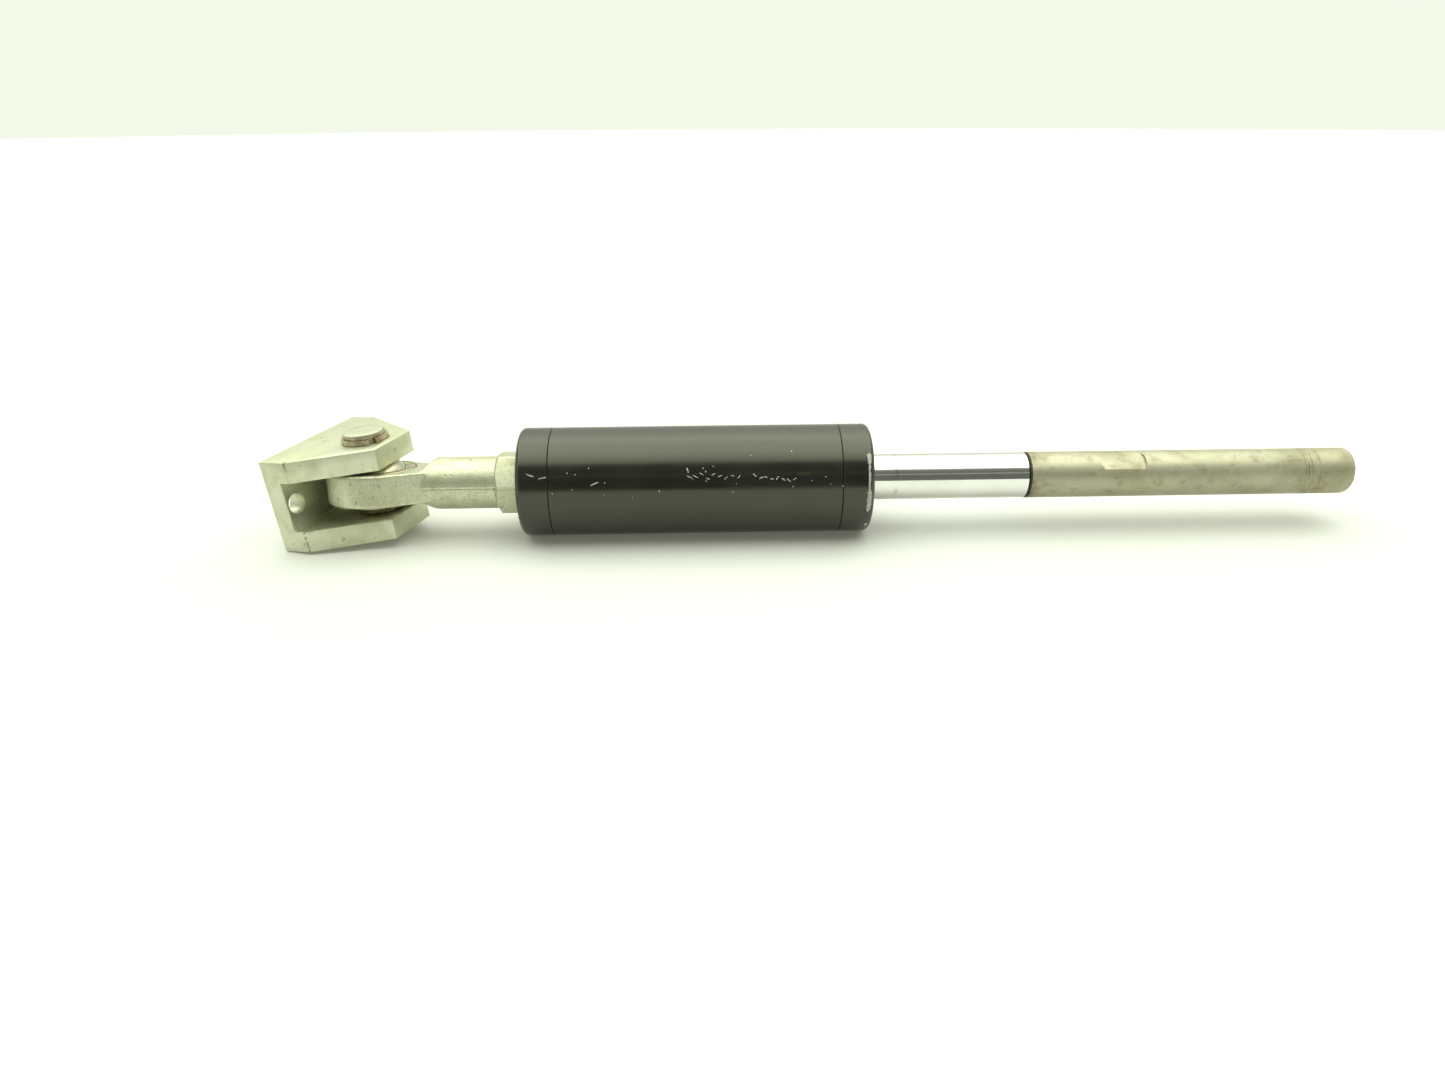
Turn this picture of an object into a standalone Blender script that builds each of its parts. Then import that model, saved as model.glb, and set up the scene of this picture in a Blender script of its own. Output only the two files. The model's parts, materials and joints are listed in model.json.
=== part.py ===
"""Self-contained hydraulic cylinder with a spherical rod end and a clevis bracket.

Metres, +Z up.  The cylinder axis runs along X: the clevis bracket is at the -X end and the rod
leaves the barrel towards +X.  Axial positions below are measured from the seam between the rear
cap and the barrel tube, and radii from the cylinder axis.
"""
import math

import bmesh
import bpy
from mathutils import Vector

# Clearance kept between two pieces that touch or run in each other.
GAP = 0.0003

# Barrel.
BARREL_RADIUS = 0.0285
BORE_RADIUS = 0.0225
BARREL_LENGTH = 0.1493
CAP_LENGTH = 0.0163
CAP_FILLET = 0.0030
SPIGOT_RADIUS = BORE_RADIUS - GAP
REAR_SPIGOT = 0.0120
FRONT_SPIGOT = 0.0180
CAP_GROOVE_RADIUS = 0.0200
CAP_GROOVE_WIDTH = 0.0032
CAP_RING_SECTION = 0.0009
REAR_GROOVE_X = 0.0040
FRONT_GROOVE_X = 0.1415
# Chamfer that leads a spigot, stud or socket into its bore.
LEAD_IN = 0.0008

# Rod and the extension screwed on its end.
ROD_RADIUS = 0.01215
ROD_JOINT_X = 0.2500
ROD_STUD_RADIUS = 0.0080
ROD_STUD_LENGTH = 0.0190
ROD_TENON_RADIUS = 0.0085
ROD_INNER_X = 0.0985
EXTENSION_RADIUS = 0.0122
EXTENSION_END_X = 0.4237
EXTENSION_ROUNDING = 0.0024
SOCKET_RADIUS = 0.0062
SOCKET_DEPTH = 0.0250
FLAT_START_X = 0.2885
FLAT_END_X = 0.3135
FLAT_DISTANCE = 0.0110
FLAT_WIDTH = 0.0130
FLAT_CORNER = 0.0050
FLAT_CUT = 0.0040
FLAT_ANGLE = math.radians(57.0)

# Piston pack on the rod's inner end.
PISTON_RADIUS = 0.0219
PISTON_CHAMFER = 0.0006
PISTON_START_X = 0.1130
PISTON_END_X = 0.1308
PISTON_HOLE_COUNT = 6
PISTON_HOLE_RADIUS = 0.0013
PISTON_HOLE_CIRCLE = 0.0140
GUIDE_RING_X = (0.1170, 0.1225)
PISTON_SEAL_X = (0.1250, 0.1285)
RING_GROOVE_RADIUS = 0.0200
RING_OUTER_RADIUS = BORE_RADIUS - GAP
PLATE_X = (0.1115, 0.1127)
PLATE_RADIUS = 0.0170
NUT_X = (0.1012, 0.1112)
NUT_ACROSS_FLATS = 0.0240

# Floating piston between the oil and the gas.
SEPARATOR_X = (0.0370, 0.0520)
SEPARATOR_POCKET_RADIUS = 0.0155
SEPARATOR_POCKET_X = 0.0450
SEPARATOR_GROOVE_X = (0.0427, 0.0463)
SEPARATOR_GROOVE_RADIUS = 0.0195

# Gland inside the front cap.
GLAND_BORE = 0.0127
BUSH_SEAT_RADIUS = 0.0150
BUSH_SEAT_END_X = 0.1455
SEAL_GROOVE_X = (0.1475, 0.1540)
WIPER_SEAT_X = 0.1605
SEAL_SEAT_RADIUS = 0.0169
SPANNER_HOLE_RADIUS = 0.0025
SPANNER_HOLE_CIRCLE = 0.0212
SPANNER_HOLE_DEPTH = 0.0050
WIPER_LIP = 0.0010
WIPER_RECESS = 0.0004

# Rod end screwed on the rear cap by a stud.
# The eye lies rolled about the cylinder axis, its near side up.
BALL_X = -0.0940
EYE_ROLL = math.radians(-9.5)
EYE_RADIUS = 0.0246
EYE_HALF_THICKNESS = 0.0086
EYE_EDGE = 0.0014
SHANK_RADIUS = 0.01375
SHANK_OVERLAP = 0.0050
RAMP_START = 0.0261
RAMP_END = 0.0340
COLLAR_START_X = -0.0296
COLLAR_END_X = -0.0169
COLLAR_ACROSS_FLATS = 0.0300
COLLAR_CORNER_RADIUS = 0.0170
COLLAR_CHAMFER = 0.0022
STUD_RADIUS = 0.0100
STUD_DEPTH_IN_CAP = 0.0200
STUD_DEPTH_IN_EYE = 0.0270
PLUG_CIRCLE = 0.0213
PLUG_RADIUS = 0.0029
PLUG_LENGTH = 0.0060
PLUG_HOLE_DEPTH = 0.0090
PLUG_KEY = 0.0030
PLUG_SINK = 0.0008

# Spherical bearing, with its centre at BALL_X on the cylinder axis.
RACE_OUTER_RADIUS = 0.0205
RACE_SPHERE = 0.0186
LINER_OUTER_SPHERE = 0.0183
LINER_INNER_SPHERE = 0.0177
LINER_HALF_WIDTH = 0.0080
BALL_SPHERE = 0.0174
BALL_HALF_WIDTH = 0.0125
BALL_BORE = 0.0103

# Clevis pin and the rings that hold it.
PIN_RADIUS = 0.0100
PIN_HEAD_RADIUS = 0.0104
PIN_TOP = 0.0299
PIN_HEAD_BASE = 0.0276
PIN_BOTTOM = -0.0269
RING_SECTION = 0.0013
RING_THICKNESS = 0.0022
LOWER_RING_THICKNESS = 0.0014

# Clevis bracket, measured from the pin: -X towards the mounting face, +X towards the ear tips.
MOUNT_FACE = -0.0370
POCKET_FLOOR = -0.0275
SHOULDER = -0.0216
EAR_TIP = 0.0165
BRACKET_HALF_WIDTH = 0.0365
TIP_HALF_WIDTH = 0.01515
BRACKET_HALF_HEIGHT = 0.0245
SLOT_HALF_HEIGHT = 0.0133
BOLT_SPACING = 0.0590
BOLT_HOLE_RADIUS = 0.00525
BRACKET_EDGE = 0.0005
# The bracket as it lies: slid up its pin, swivelled about it, then leaned towards the floor.
SWIVEL = math.radians(-19.7)
BRACKET_LIFT = 0.0003
LEAN = math.radians(-5.1)

BARREL_STEPS = 40
TURN_STEPS = 32
SMALL_STEPS = 24
CUT_MARGIN = 0.0050

COLLECTION_NAME = "telescopic_hydraulic_cylinder"

FINISHES = {
    "black_coating": ((0.020, 0.020, 0.022), 0.32, 0.1),
    "hard_chrome": ((0.78, 0.79, 0.80), 0.08, 1.0),
    "dull_steel": ((0.50, 0.49, 0.40), 0.45, 1.0),
    "zinc_plate": ((0.66, 0.69, 0.56), 0.38, 0.9),
    "forged_zinc": ((0.56, 0.58, 0.46), 0.55, 0.9),
    "brown_steel": ((0.38, 0.35, 0.29), 0.45, 0.9),
    "machined_steel": ((0.55, 0.55, 0.55), 0.35, 1.0),
    "bronze": ((0.55, 0.40, 0.22), 0.40, 1.0),
    "aluminium": ((0.72, 0.72, 0.73), 0.35, 1.0),
    "seal_rubber": ((0.03, 0.03, 0.03), 0.80, 0.0),
    "white_polymer": ((0.80, 0.79, 0.74), 0.55, 0.0),
}


def clear_scene():
    for item in list(bpy.data.objects):
        bpy.data.objects.remove(item, do_unlink=True)


def make_collection(name):
    collection = bpy.data.collections.new(name)
    bpy.context.scene.collection.children.link(collection)
    return collection


def finish_material(name):
    if name in bpy.data.materials:
        return bpy.data.materials[name]
    colour, roughness, metallic = FINISHES[name]
    material = bpy.data.materials.new(name)
    material.use_nodes = True
    shader = material.node_tree.nodes["Principled BSDF"]
    shader.inputs["Base Color"].default_value = (*colour, 1.0)
    shader.inputs["Roughness"].default_value = roughness
    shader.inputs["Metallic"].default_value = metallic
    return material


def make_empty(name, parent, location=(0, 0, 0), rotation=(0, 0, 0)):
    empty = bpy.data.objects.new(name, None)
    empty.empty_display_size = 0.02
    empty.parent = parent
    empty.location = location
    empty.rotation_euler = rotation
    PARTS.objects.link(empty)
    return empty


def add_object(name, mesh, parent, finish):
    """Link a mesh as a named part, or as a cutter when it has no finish."""
    item = bpy.data.objects.new(name, mesh)
    item.parent = parent
    if finish is None:
        CUTTERS.objects.link(item)
        item.hide_render = True
        item.display_type = "WIRE"
    else:
        PARTS.objects.link(item)
        mesh.materials.append(finish_material(finish))
    return item


def outline_mesh(name, points, closed):
    """A wire outline in the XZ plane, from (radius, height) pairs."""
    mesh = bpy.data.meshes.new(name)
    count = len(points)
    edges = [(i, i + 1) for i in range(count - 1)]
    if closed:
        edges.append((count - 1, 0))
    mesh.from_pydata([(radius, 0.0, height) for radius, height in points], edges, [])
    return mesh


def turned(name, points, parent, finish, closed=False, steps=TURN_STEPS, along_x=True):
    """Spin an outline about its local Z axis, which lies along the cylinder when along_x."""
    item = add_object(name, outline_mesh(name, points, closed), parent, finish)
    if along_x:
        item.rotation_euler = (0.0, math.pi / 2, 0.0)
    screw = item.modifiers.new("turn", "SCREW")
    screw.steps = steps
    screw.render_steps = steps
    screw.use_merge_vertices = True
    screw.merge_threshold = 0.00001
    screw.use_smooth_shade = False
    return item


def arc(centre, radius, start, end, count):
    """Points on an arc, from the start angle to the end angle in degrees."""
    points = []
    for i in range(count + 1):
        angle = math.radians(start + (end - start) * i / count)
        points.append((centre[0] + radius * math.cos(angle), centre[1] + radius * math.sin(angle)))
    return points


def ring(name, radii, span, parent, finish, chamfer=0.0003, steps=SMALL_STEPS, along_x=True):
    """A plain ring with small chamfers on its outer edges."""
    inner, outer = radii
    low, high = span
    points = [
        (inner, high),
        (outer - chamfer, high),
        (outer, high - chamfer),
        (outer, low + chamfer),
        (outer - chamfer, low),
        (inner, low),
    ]
    return turned(name, points, parent, finish, closed=True, steps=steps, along_x=along_x)


def round_ring(name, radius, section, height, parent, finish):
    """A ring of round section, such as an O-ring."""
    points = arc((radius, height), section, 90.0, -270.0, 6)[:-1]
    return turned(name, points, parent, finish, closed=True, steps=SMALL_STEPS)


def prism(name, size, location, parent, finish=None, rotation=(0, 0, 0)):
    """A box of the given full size."""
    mesh = bpy.data.meshes.new(name)
    shape = bmesh.new()
    bmesh.ops.create_cube(shape, size=1.0)
    bmesh.ops.scale(shape, vec=size, verts=shape.verts)
    shape.to_mesh(mesh)
    shape.free()
    item = add_object(name, mesh, parent, finish)
    item.location = location
    item.rotation_euler = rotation
    return item


def rod_shape(name, radius, length, location, parent, finish=None, rotation=(0, 0, 0), sides=24):
    """A cylinder, or a prism with few sides, centred on its location along local Z."""
    mesh = bpy.data.meshes.new(name)
    shape = bmesh.new()
    bmesh.ops.create_cone(
        shape, cap_ends=True, segments=sides, radius1=radius, radius2=radius, depth=length
    )
    shape.to_mesh(mesh)
    shape.free()
    item = add_object(name, mesh, parent, finish)
    item.location = location
    item.rotation_euler = rotation
    return item


def extrusion(name, outline, half_height, parent, finish=None, rotation=(0, 0, 0)):
    """A flat outline, filled and extruded both ways, as a closed mesh."""
    mesh = bpy.data.meshes.new(name)
    shape = bmesh.new()
    base = [shape.verts.new((x, y, -half_height)) for x, y in outline]
    face = shape.faces.new(base)
    made = bmesh.ops.extrude_face_region(shape, geom=[face])
    tops = [part for part in made["geom"] if isinstance(part, bmesh.types.BMVert)]
    bmesh.ops.translate(shape, vec=(0.0, 0.0, 2 * half_height), verts=tops)
    bmesh.ops.recalc_face_normals(shape, faces=shape.faces)
    shape.to_mesh(mesh)
    shape.free()
    item = add_object(name, mesh, parent, finish)
    item.rotation_euler = rotation
    return item


def combine(item, other, operation):
    boolean = item.modifiers.new(operation.lower(), "BOOLEAN")
    boolean.operation = operation
    boolean.solver = "EXACT"
    boolean.object = other


def bevel(item, width, segments=1, angle=50.0):
    modifier = item.modifiers.new("edges", "BEVEL")
    modifier.width = width
    modifier.segments = segments
    modifier.limit_method = "ANGLE"
    modifier.angle_limit = math.radians(angle)
    modifier.harden_normals = False


def build_barrel_tube(root):
    half_seam = GAP / 2
    radii = (BORE_RADIUS, BARREL_RADIUS)
    span = (half_seam, BARREL_LENGTH - half_seam)
    ring("barrel_tube", radii, span, root, "black_coating", chamfer=0.0002,
         steps=BARREL_STEPS)


def build_rear_cap(root):
    """Screwed cap with a stud hole, an O-ring groove and the filling port."""
    face = -GAP / 2
    back = -CAP_LENGTH - GAP
    groove = REAR_GROOVE_X
    rounding = arc((BARREL_RADIUS - CAP_FILLET, back + CAP_FILLET), CAP_FILLET, 0, -90, 3)
    points = [
        (0.0, REAR_SPIGOT),
        (SPIGOT_RADIUS - LEAD_IN, REAR_SPIGOT),
        (SPIGOT_RADIUS, REAR_SPIGOT - LEAD_IN),
        (SPIGOT_RADIUS, groove + CAP_GROOVE_WIDTH),
        (CAP_GROOVE_RADIUS, groove + CAP_GROOVE_WIDTH),
        (CAP_GROOVE_RADIUS, groove),
        (SPIGOT_RADIUS, groove),
        (SPIGOT_RADIUS, face),
        (BARREL_RADIUS, face),
        *rounding,
        (STUD_RADIUS + GAP, back),
        (STUD_RADIUS + GAP, back + STUD_DEPTH_IN_CAP),
        (0.0, back + STUD_DEPTH_IN_CAP),
    ]
    cap = turned("rear_cap", points, root, "black_coating", steps=BARREL_STEPS)
    hole = rod_shape(
        "filling_port_cutter", PLUG_RADIUS + GAP, PLUG_HOLE_DEPTH + CUT_MARGIN,
        (back + (PLUG_HOLE_DEPTH - CUT_MARGIN) / 2, PLUG_CIRCLE, 0.0), root,
        rotation=(0.0, math.pi / 2, 0.0), sides=16,
    )
    combine(cap, hole, "DIFFERENCE")
    section_centre = (CAP_GROOVE_RADIUS + BORE_RADIUS) / 2
    middle = groove + CAP_GROOVE_WIDTH / 2
    round_ring("rear_cap_seal", section_centre, CAP_RING_SECTION, middle, root, "seal_rubber")


def build_filling_plug(root):
    """Grub screw with a hexagon key socket in the rear cap's filling port."""
    start = -CAP_LENGTH - GAP + PLUG_SINK
    middle = (start + PLUG_LENGTH / 2, PLUG_CIRCLE, 0.0)
    sideways = (0.0, math.pi / 2, 0.0)
    plug = rod_shape(
        "filling_plug", PLUG_RADIUS, PLUG_LENGTH, middle, root, "machined_steel", sideways, 16
    )
    key = rod_shape(
        "plug_key_cutter", PLUG_KEY / math.sqrt(3), PLUG_LENGTH, (start, PLUG_CIRCLE, 0.0), root,
        rotation=sideways, sides=6,
    )
    combine(plug, key, "DIFFERENCE")


def build_front_cap(root):
    """Gland cap: rod bush seat, seal groove, wiper seat and two pin-spanner holes."""
    face = BARREL_LENGTH + GAP / 2
    front = BARREL_LENGTH + CAP_LENGTH
    back = BARREL_LENGTH - FRONT_SPIGOT
    groove = FRONT_GROOVE_X
    centre = (BARREL_RADIUS - CAP_FILLET, front - CAP_FILLET)
    points = [
        (SEAL_SEAT_RADIUS, front),
        *arc(centre, CAP_FILLET, 90, 0, 3),
        (BARREL_RADIUS, face),
        (SPIGOT_RADIUS, face),
        (SPIGOT_RADIUS, groove + CAP_GROOVE_WIDTH),
        (CAP_GROOVE_RADIUS, groove + CAP_GROOVE_WIDTH),
        (CAP_GROOVE_RADIUS, groove),
        (SPIGOT_RADIUS, groove),
        (SPIGOT_RADIUS, back),
        (BUSH_SEAT_RADIUS, back),
        (BUSH_SEAT_RADIUS, BUSH_SEAT_END_X),
        (GLAND_BORE, BUSH_SEAT_END_X),
        (GLAND_BORE, SEAL_GROOVE_X[0]),
        (SEAL_SEAT_RADIUS, SEAL_GROOVE_X[0]),
        (SEAL_SEAT_RADIUS, SEAL_GROOVE_X[1]),
        (GLAND_BORE, SEAL_GROOVE_X[1]),
        (GLAND_BORE, WIPER_SEAT_X),
        (SEAL_SEAT_RADIUS, WIPER_SEAT_X),
    ]
    cap = turned("front_cap", points, root, "black_coating", closed=True, steps=BARREL_STEPS)
    for side in (-1, 1):
        hole = rod_shape(
            f"spanner_hole_cutter_{side + 2}", SPANNER_HOLE_RADIUS, 2 * SPANNER_HOLE_DEPTH,
            (front, side * SPANNER_HOLE_CIRCLE, 0.0), root,
            rotation=(0.0, math.pi / 2, 0.0), sides=16,
        )
        combine(cap, hole, "DIFFERENCE")
    section_centre = (CAP_GROOVE_RADIUS + BORE_RADIUS) / 2
    middle = groove + CAP_GROOVE_WIDTH / 2
    round_ring("front_cap_seal", section_centre, CAP_RING_SECTION, middle, root, "seal_rubber")


def build_gland_rings(root):
    """Bush, rod seal and wiper that run on the rod."""
    running = ROD_RADIUS + GAP
    back = BARREL_LENGTH - FRONT_SPIGOT
    ring("rod_bush", (running, BUSH_SEAT_RADIUS - GAP), (back + GAP, BUSH_SEAT_END_X - GAP),
         root, "bronze")
    ring("rod_seal", (running, SEAL_SEAT_RADIUS - GAP),
         (SEAL_GROOVE_X[0] + GAP, SEAL_GROOVE_X[1] - GAP), root, "white_polymer")
    front = BARREL_LENGTH + CAP_LENGTH
    points = [
        (running, front + WIPER_LIP),
        (running + 0.8 * WIPER_LIP, front + WIPER_LIP),
        (running + 2 * WIPER_LIP, front - WIPER_RECESS),
        (SEAL_SEAT_RADIUS - GAP, front - WIPER_RECESS),
        (SEAL_SEAT_RADIUS - GAP, WIPER_SEAT_X + GAP),
        (running, WIPER_SEAT_X + GAP),
    ]
    turned("rod_wiper", points, root, "seal_rubber", closed=True, steps=SMALL_STEPS)


def build_rod(rod_frame):
    """Chromed rod with a tenon for the piston and a threaded end for the extension."""
    shoulder = PISTON_END_X + GAP
    end = ROD_JOINT_X - GAP / 2
    chamfer = 0.0004
    points = [
        (0.0, ROD_JOINT_X + ROD_STUD_LENGTH),
        (ROD_STUD_RADIUS - LEAD_IN, ROD_JOINT_X + ROD_STUD_LENGTH),
        (ROD_STUD_RADIUS, ROD_JOINT_X + ROD_STUD_LENGTH - LEAD_IN),
        (ROD_STUD_RADIUS, end),
        (ROD_RADIUS - chamfer, end),
        (ROD_RADIUS, end - chamfer),
        (ROD_RADIUS, shoulder),
        (ROD_TENON_RADIUS, shoulder),
        (ROD_TENON_RADIUS, ROD_INNER_X + LEAD_IN),
        (ROD_TENON_RADIUS - LEAD_IN, ROD_INNER_X),
        (0.0, ROD_INNER_X),
    ]
    turned("piston_rod", points, rod_frame, "hard_chrome")


def build_rod_extension(rod_frame):
    """Plain rod extension with wrench flats and a threaded socket in its far end."""
    start = ROD_JOINT_X + GAP / 2
    chamfer = 0.0005
    bore = ROD_STUD_RADIUS + GAP
    bore_end = ROD_JOINT_X + ROD_STUD_LENGTH + 2 * GAP
    far = EXTENSION_END_X
    centre = (EXTENSION_RADIUS - EXTENSION_ROUNDING, far - EXTENSION_ROUNDING)
    points = [
        (0.0, far - SOCKET_DEPTH),
        (SOCKET_RADIUS, far - SOCKET_DEPTH),
        (SOCKET_RADIUS, far - LEAD_IN),
        (SOCKET_RADIUS + LEAD_IN, far),
        *arc(centre, EXTENSION_ROUNDING, 90, 0, 3),
        (EXTENSION_RADIUS, start + chamfer),
        (EXTENSION_RADIUS - chamfer, start),
        (bore, start),
        (bore, bore_end),
        (0.0, bore_end),
    ]
    extension = turned("rod_extension", points, rod_frame, "dull_steel")
    length = FLAT_END_X - FLAT_START_X
    middle = (FLAT_START_X + FLAT_END_X) / 2
    for side in (0, 1):
        turn = FLAT_ANGLE + side * math.pi
        reach = FLAT_DISTANCE + FLAT_CUT / 2
        place = (middle, -reach * math.cos(turn), reach * math.sin(turn))
        cutter = prism(
            f"wrench_flat_cutter_{side + 1}", (length, FLAT_WIDTH, FLAT_CUT), place,
            rod_frame, rotation=(math.pi / 2 - turn, 0.0, 0.0),
        )
        round_upright_edges(cutter, FLAT_CORNER)
        combine(extension, cutter, "DIFFERENCE")


def round_upright_edges(item, radius):
    """Round the four edges of a box that run along its local Z."""
    shape = bmesh.new()
    shape.from_mesh(item.data)
    upright = [
        edge for edge in shape.edges
        if abs((edge.verts[0].co - edge.verts[1].co).normalized().z) > 0.9
    ]
    bmesh.ops.bevel(shape, geom=upright, offset=radius, segments=4, affect="EDGES", profile=0.5)
    shape.to_mesh(item.data)
    shape.free()


def build_piston(rod_frame, slide_frame):
    """Piston with metering holes, its guide ring and its seal."""
    running = ROD_TENON_RADIUS + GAP
    points = [
        (running, PISTON_END_X),
        (PISTON_RADIUS - PISTON_CHAMFER, PISTON_END_X),
        (PISTON_RADIUS, PISTON_END_X - PISTON_CHAMFER),
        (PISTON_RADIUS, PISTON_SEAL_X[1]),
        (RING_GROOVE_RADIUS, PISTON_SEAL_X[1]),
        (RING_GROOVE_RADIUS, PISTON_SEAL_X[0]),
        (PISTON_RADIUS, PISTON_SEAL_X[0]),
        (PISTON_RADIUS, GUIDE_RING_X[1]),
        (RING_GROOVE_RADIUS, GUIDE_RING_X[1]),
        (RING_GROOVE_RADIUS, GUIDE_RING_X[0]),
        (PISTON_RADIUS, GUIDE_RING_X[0]),
        (PISTON_RADIUS, PISTON_START_X + PISTON_CHAMFER),
        (PISTON_RADIUS - PISTON_CHAMFER, PISTON_START_X),
        (running, PISTON_START_X),
    ]
    piston = turned("piston", points, rod_frame, "machined_steel", closed=True, steps=SMALL_STEPS)
    middle = (PISTON_START_X + PISTON_END_X) / 2
    length = PISTON_END_X - PISTON_START_X + CUT_MARGIN
    for i in range(PISTON_HOLE_COUNT):
        angle = 2 * math.pi * (i + 0.5) / PISTON_HOLE_COUNT
        place = (middle, PISTON_HOLE_CIRCLE * math.cos(angle), PISTON_HOLE_CIRCLE * math.sin(angle))
        hole = rod_shape(
            f"metering_hole_cutter_{i + 1}", PISTON_HOLE_RADIUS, length, place, rod_frame,
            rotation=(0.0, math.pi / 2, 0.0), sides=8,
        )
        combine(piston, hole, "DIFFERENCE")
    inner = RING_GROOVE_RADIUS + GAP
    ring("piston_guide_ring", (inner, RING_OUTER_RADIUS),
         (GUIDE_RING_X[0] + GAP, GUIDE_RING_X[1] - GAP), slide_frame, "white_polymer")
    ring("piston_seal", (inner, RING_OUTER_RADIUS),
         (PISTON_SEAL_X[0] + GAP, PISTON_SEAL_X[1] - GAP), slide_frame, "seal_rubber")


def build_piston_fasteners(rod_frame):
    """Valve plate under the piston, and the nut that holds both on the tenon."""
    running = ROD_TENON_RADIUS + GAP
    ring("valve_plate", (running, PLATE_RADIUS), PLATE_X, rod_frame, "machined_steel", 0.0002)
    length = NUT_X[1] - NUT_X[0]
    middle = ((NUT_X[0] + NUT_X[1]) / 2, 0.0, 0.0)
    sideways = (0.0, math.pi / 2, 0.0)
    nut = rod_shape(
        "piston_nut", NUT_ACROSS_FLATS / math.sqrt(3), length, middle, rod_frame,
        "machined_steel", sideways, 6,
    )
    hole = rod_shape(
        "nut_hole_cutter", running, length + CUT_MARGIN, middle, rod_frame, rotation=sideways
    )
    combine(nut, hole, "DIFFERENCE")


def build_separator(separator_frame):
    """Floating piston and its O-ring."""
    low, high = SEPARATOR_X
    points = [
        (0.0, high),
        (PISTON_RADIUS - PISTON_CHAMFER, high),
        (PISTON_RADIUS, high - PISTON_CHAMFER),
        (PISTON_RADIUS, SEPARATOR_GROOVE_X[1]),
        (SEPARATOR_GROOVE_RADIUS, SEPARATOR_GROOVE_X[1]),
        (SEPARATOR_GROOVE_RADIUS, SEPARATOR_GROOVE_X[0]),
        (PISTON_RADIUS, SEPARATOR_GROOVE_X[0]),
        (PISTON_RADIUS, low + PISTON_CHAMFER),
        (PISTON_RADIUS - PISTON_CHAMFER, low),
        (SEPARATOR_POCKET_RADIUS, low),
        (SEPARATOR_POCKET_RADIUS, SEPARATOR_POCKET_X),
        (0.0, SEPARATOR_POCKET_X),
    ]
    turned("separator_piston", points, separator_frame, "aluminium", steps=SMALL_STEPS)
    section = (RING_OUTER_RADIUS - SEPARATOR_GROOVE_RADIUS - GAP) / 2
    round_ring("separator_seal", RING_OUTER_RADIUS - section, section,
               sum(SEPARATOR_GROOVE_X) / 2, separator_frame, "seal_rubber")


def build_mounting_stud(root):
    """Threaded stud that joins the rear cap and the rod end."""
    face = -CAP_LENGTH - GAP
    high = face + STUD_DEPTH_IN_CAP - GAP
    low = face - STUD_DEPTH_IN_EYE
    chamfer = 0.0012
    points = [
        (0.0, high),
        (STUD_RADIUS - chamfer, high),
        (STUD_RADIUS, high - chamfer),
        (STUD_RADIUS, low + chamfer),
        (STUD_RADIUS - chamfer, low),
        (0.0, low),
    ]
    turned("mounting_stud", points, root, "machined_steel", steps=SMALL_STEPS)


def ramp_cutter(eye_frame):
    """Wedges above and below the shank that leave it as thick as the eye near the bearing."""
    outer = SHANK_RADIUS + CUT_MARGIN / 5
    reach = EYE_RADIUS + CUT_MARGIN
    outline = [
        (-reach, EYE_HALF_THICKNESS),
        (RAMP_START, EYE_HALF_THICKNESS),
        (RAMP_END, outer),
        (-reach, outer),
    ]
    cutter = extrusion(
        "shank_ramp_cutter", outline, reach, eye_frame, rotation=(math.pi / 2, 0.0, 0.0)
    )
    mirror = cutter.modifiers.new("below", "MIRROR")
    mirror.use_axis = (False, True, False)
    mirror.merge_threshold = 0.00001
    return cutter


def collar_blank(root, eye_frame):
    """Hexagon with two corners in the eye's plane, turned corners and a chamfered rear edge."""
    length = COLLAR_END_X - COLLAR_START_X
    middle = (COLLAR_START_X + COLLAR_END_X) / 2
    hexagon = rod_shape(
        "collar_hexagon", COLLAR_ACROSS_FLATS / math.sqrt(3), length,
        (middle - BALL_X, 0.0, 0.0), eye_frame, rotation=(0.0, math.pi / 2, 0.0), sides=6,
    )
    points = [
        (0.0, COLLAR_END_X + CUT_MARGIN),
        (COLLAR_CORNER_RADIUS, COLLAR_END_X + CUT_MARGIN),
        (COLLAR_CORNER_RADIUS, COLLAR_START_X + COLLAR_CHAMFER),
        (COLLAR_CORNER_RADIUS - 1.7 * COLLAR_CHAMFER, COLLAR_START_X),
        (0.0, COLLAR_START_X),
    ]
    envelope = turned("collar_envelope", points, root, None)
    combine(hexagon, envelope, "INTERSECT")
    return hexagon


def build_rod_end_housing(root, eye_frame):
    """Forged eye, round shank and hexagon collar, bored for the race and the stud."""
    housing = rod_shape(
        "rod_end_housing", EYE_RADIUS, 2 * EYE_HALF_THICKNESS, (0.0, 0.0, 0.0), eye_frame,
        "forged_zinc", sides=48,
    )
    bevel(housing, EYE_EDGE, segments=2)
    shank_points = [
        (0.0, COLLAR_END_X - SHANK_OVERLAP),
        (SHANK_RADIUS, COLLAR_END_X - SHANK_OVERLAP),
        (SHANK_RADIUS, BALL_X + SHANK_OVERLAP),
        (0.0, BALL_X + SHANK_OVERLAP),
    ]
    shank = turned("shank_blank", shank_points, root, None)
    combine(shank, ramp_cutter(eye_frame), "DIFFERENCE")
    combine(housing, shank, "UNION")
    combine(housing, collar_blank(root, eye_frame), "UNION")
    race_bore = rod_shape(
        "race_bore_cutter", RACE_OUTER_RADIUS + GAP, 2 * (EYE_HALF_THICKNESS + CUT_MARGIN),
        (0.0, 0.0, 0.0), eye_frame, sides=36,
    )
    combine(housing, race_bore, "DIFFERENCE")
    depth = STUD_DEPTH_IN_EYE + 2 * GAP
    thread = rod_shape(
        "rod_end_thread_cutter", STUD_RADIUS + GAP, depth + CUT_MARGIN,
        (COLLAR_END_X - (depth - CUT_MARGIN) / 2, 0.0, 0.0), root,
        rotation=(0.0, math.pi / 2, 0.0), sides=32,
    )
    combine(housing, thread, "DIFFERENCE")


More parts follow.
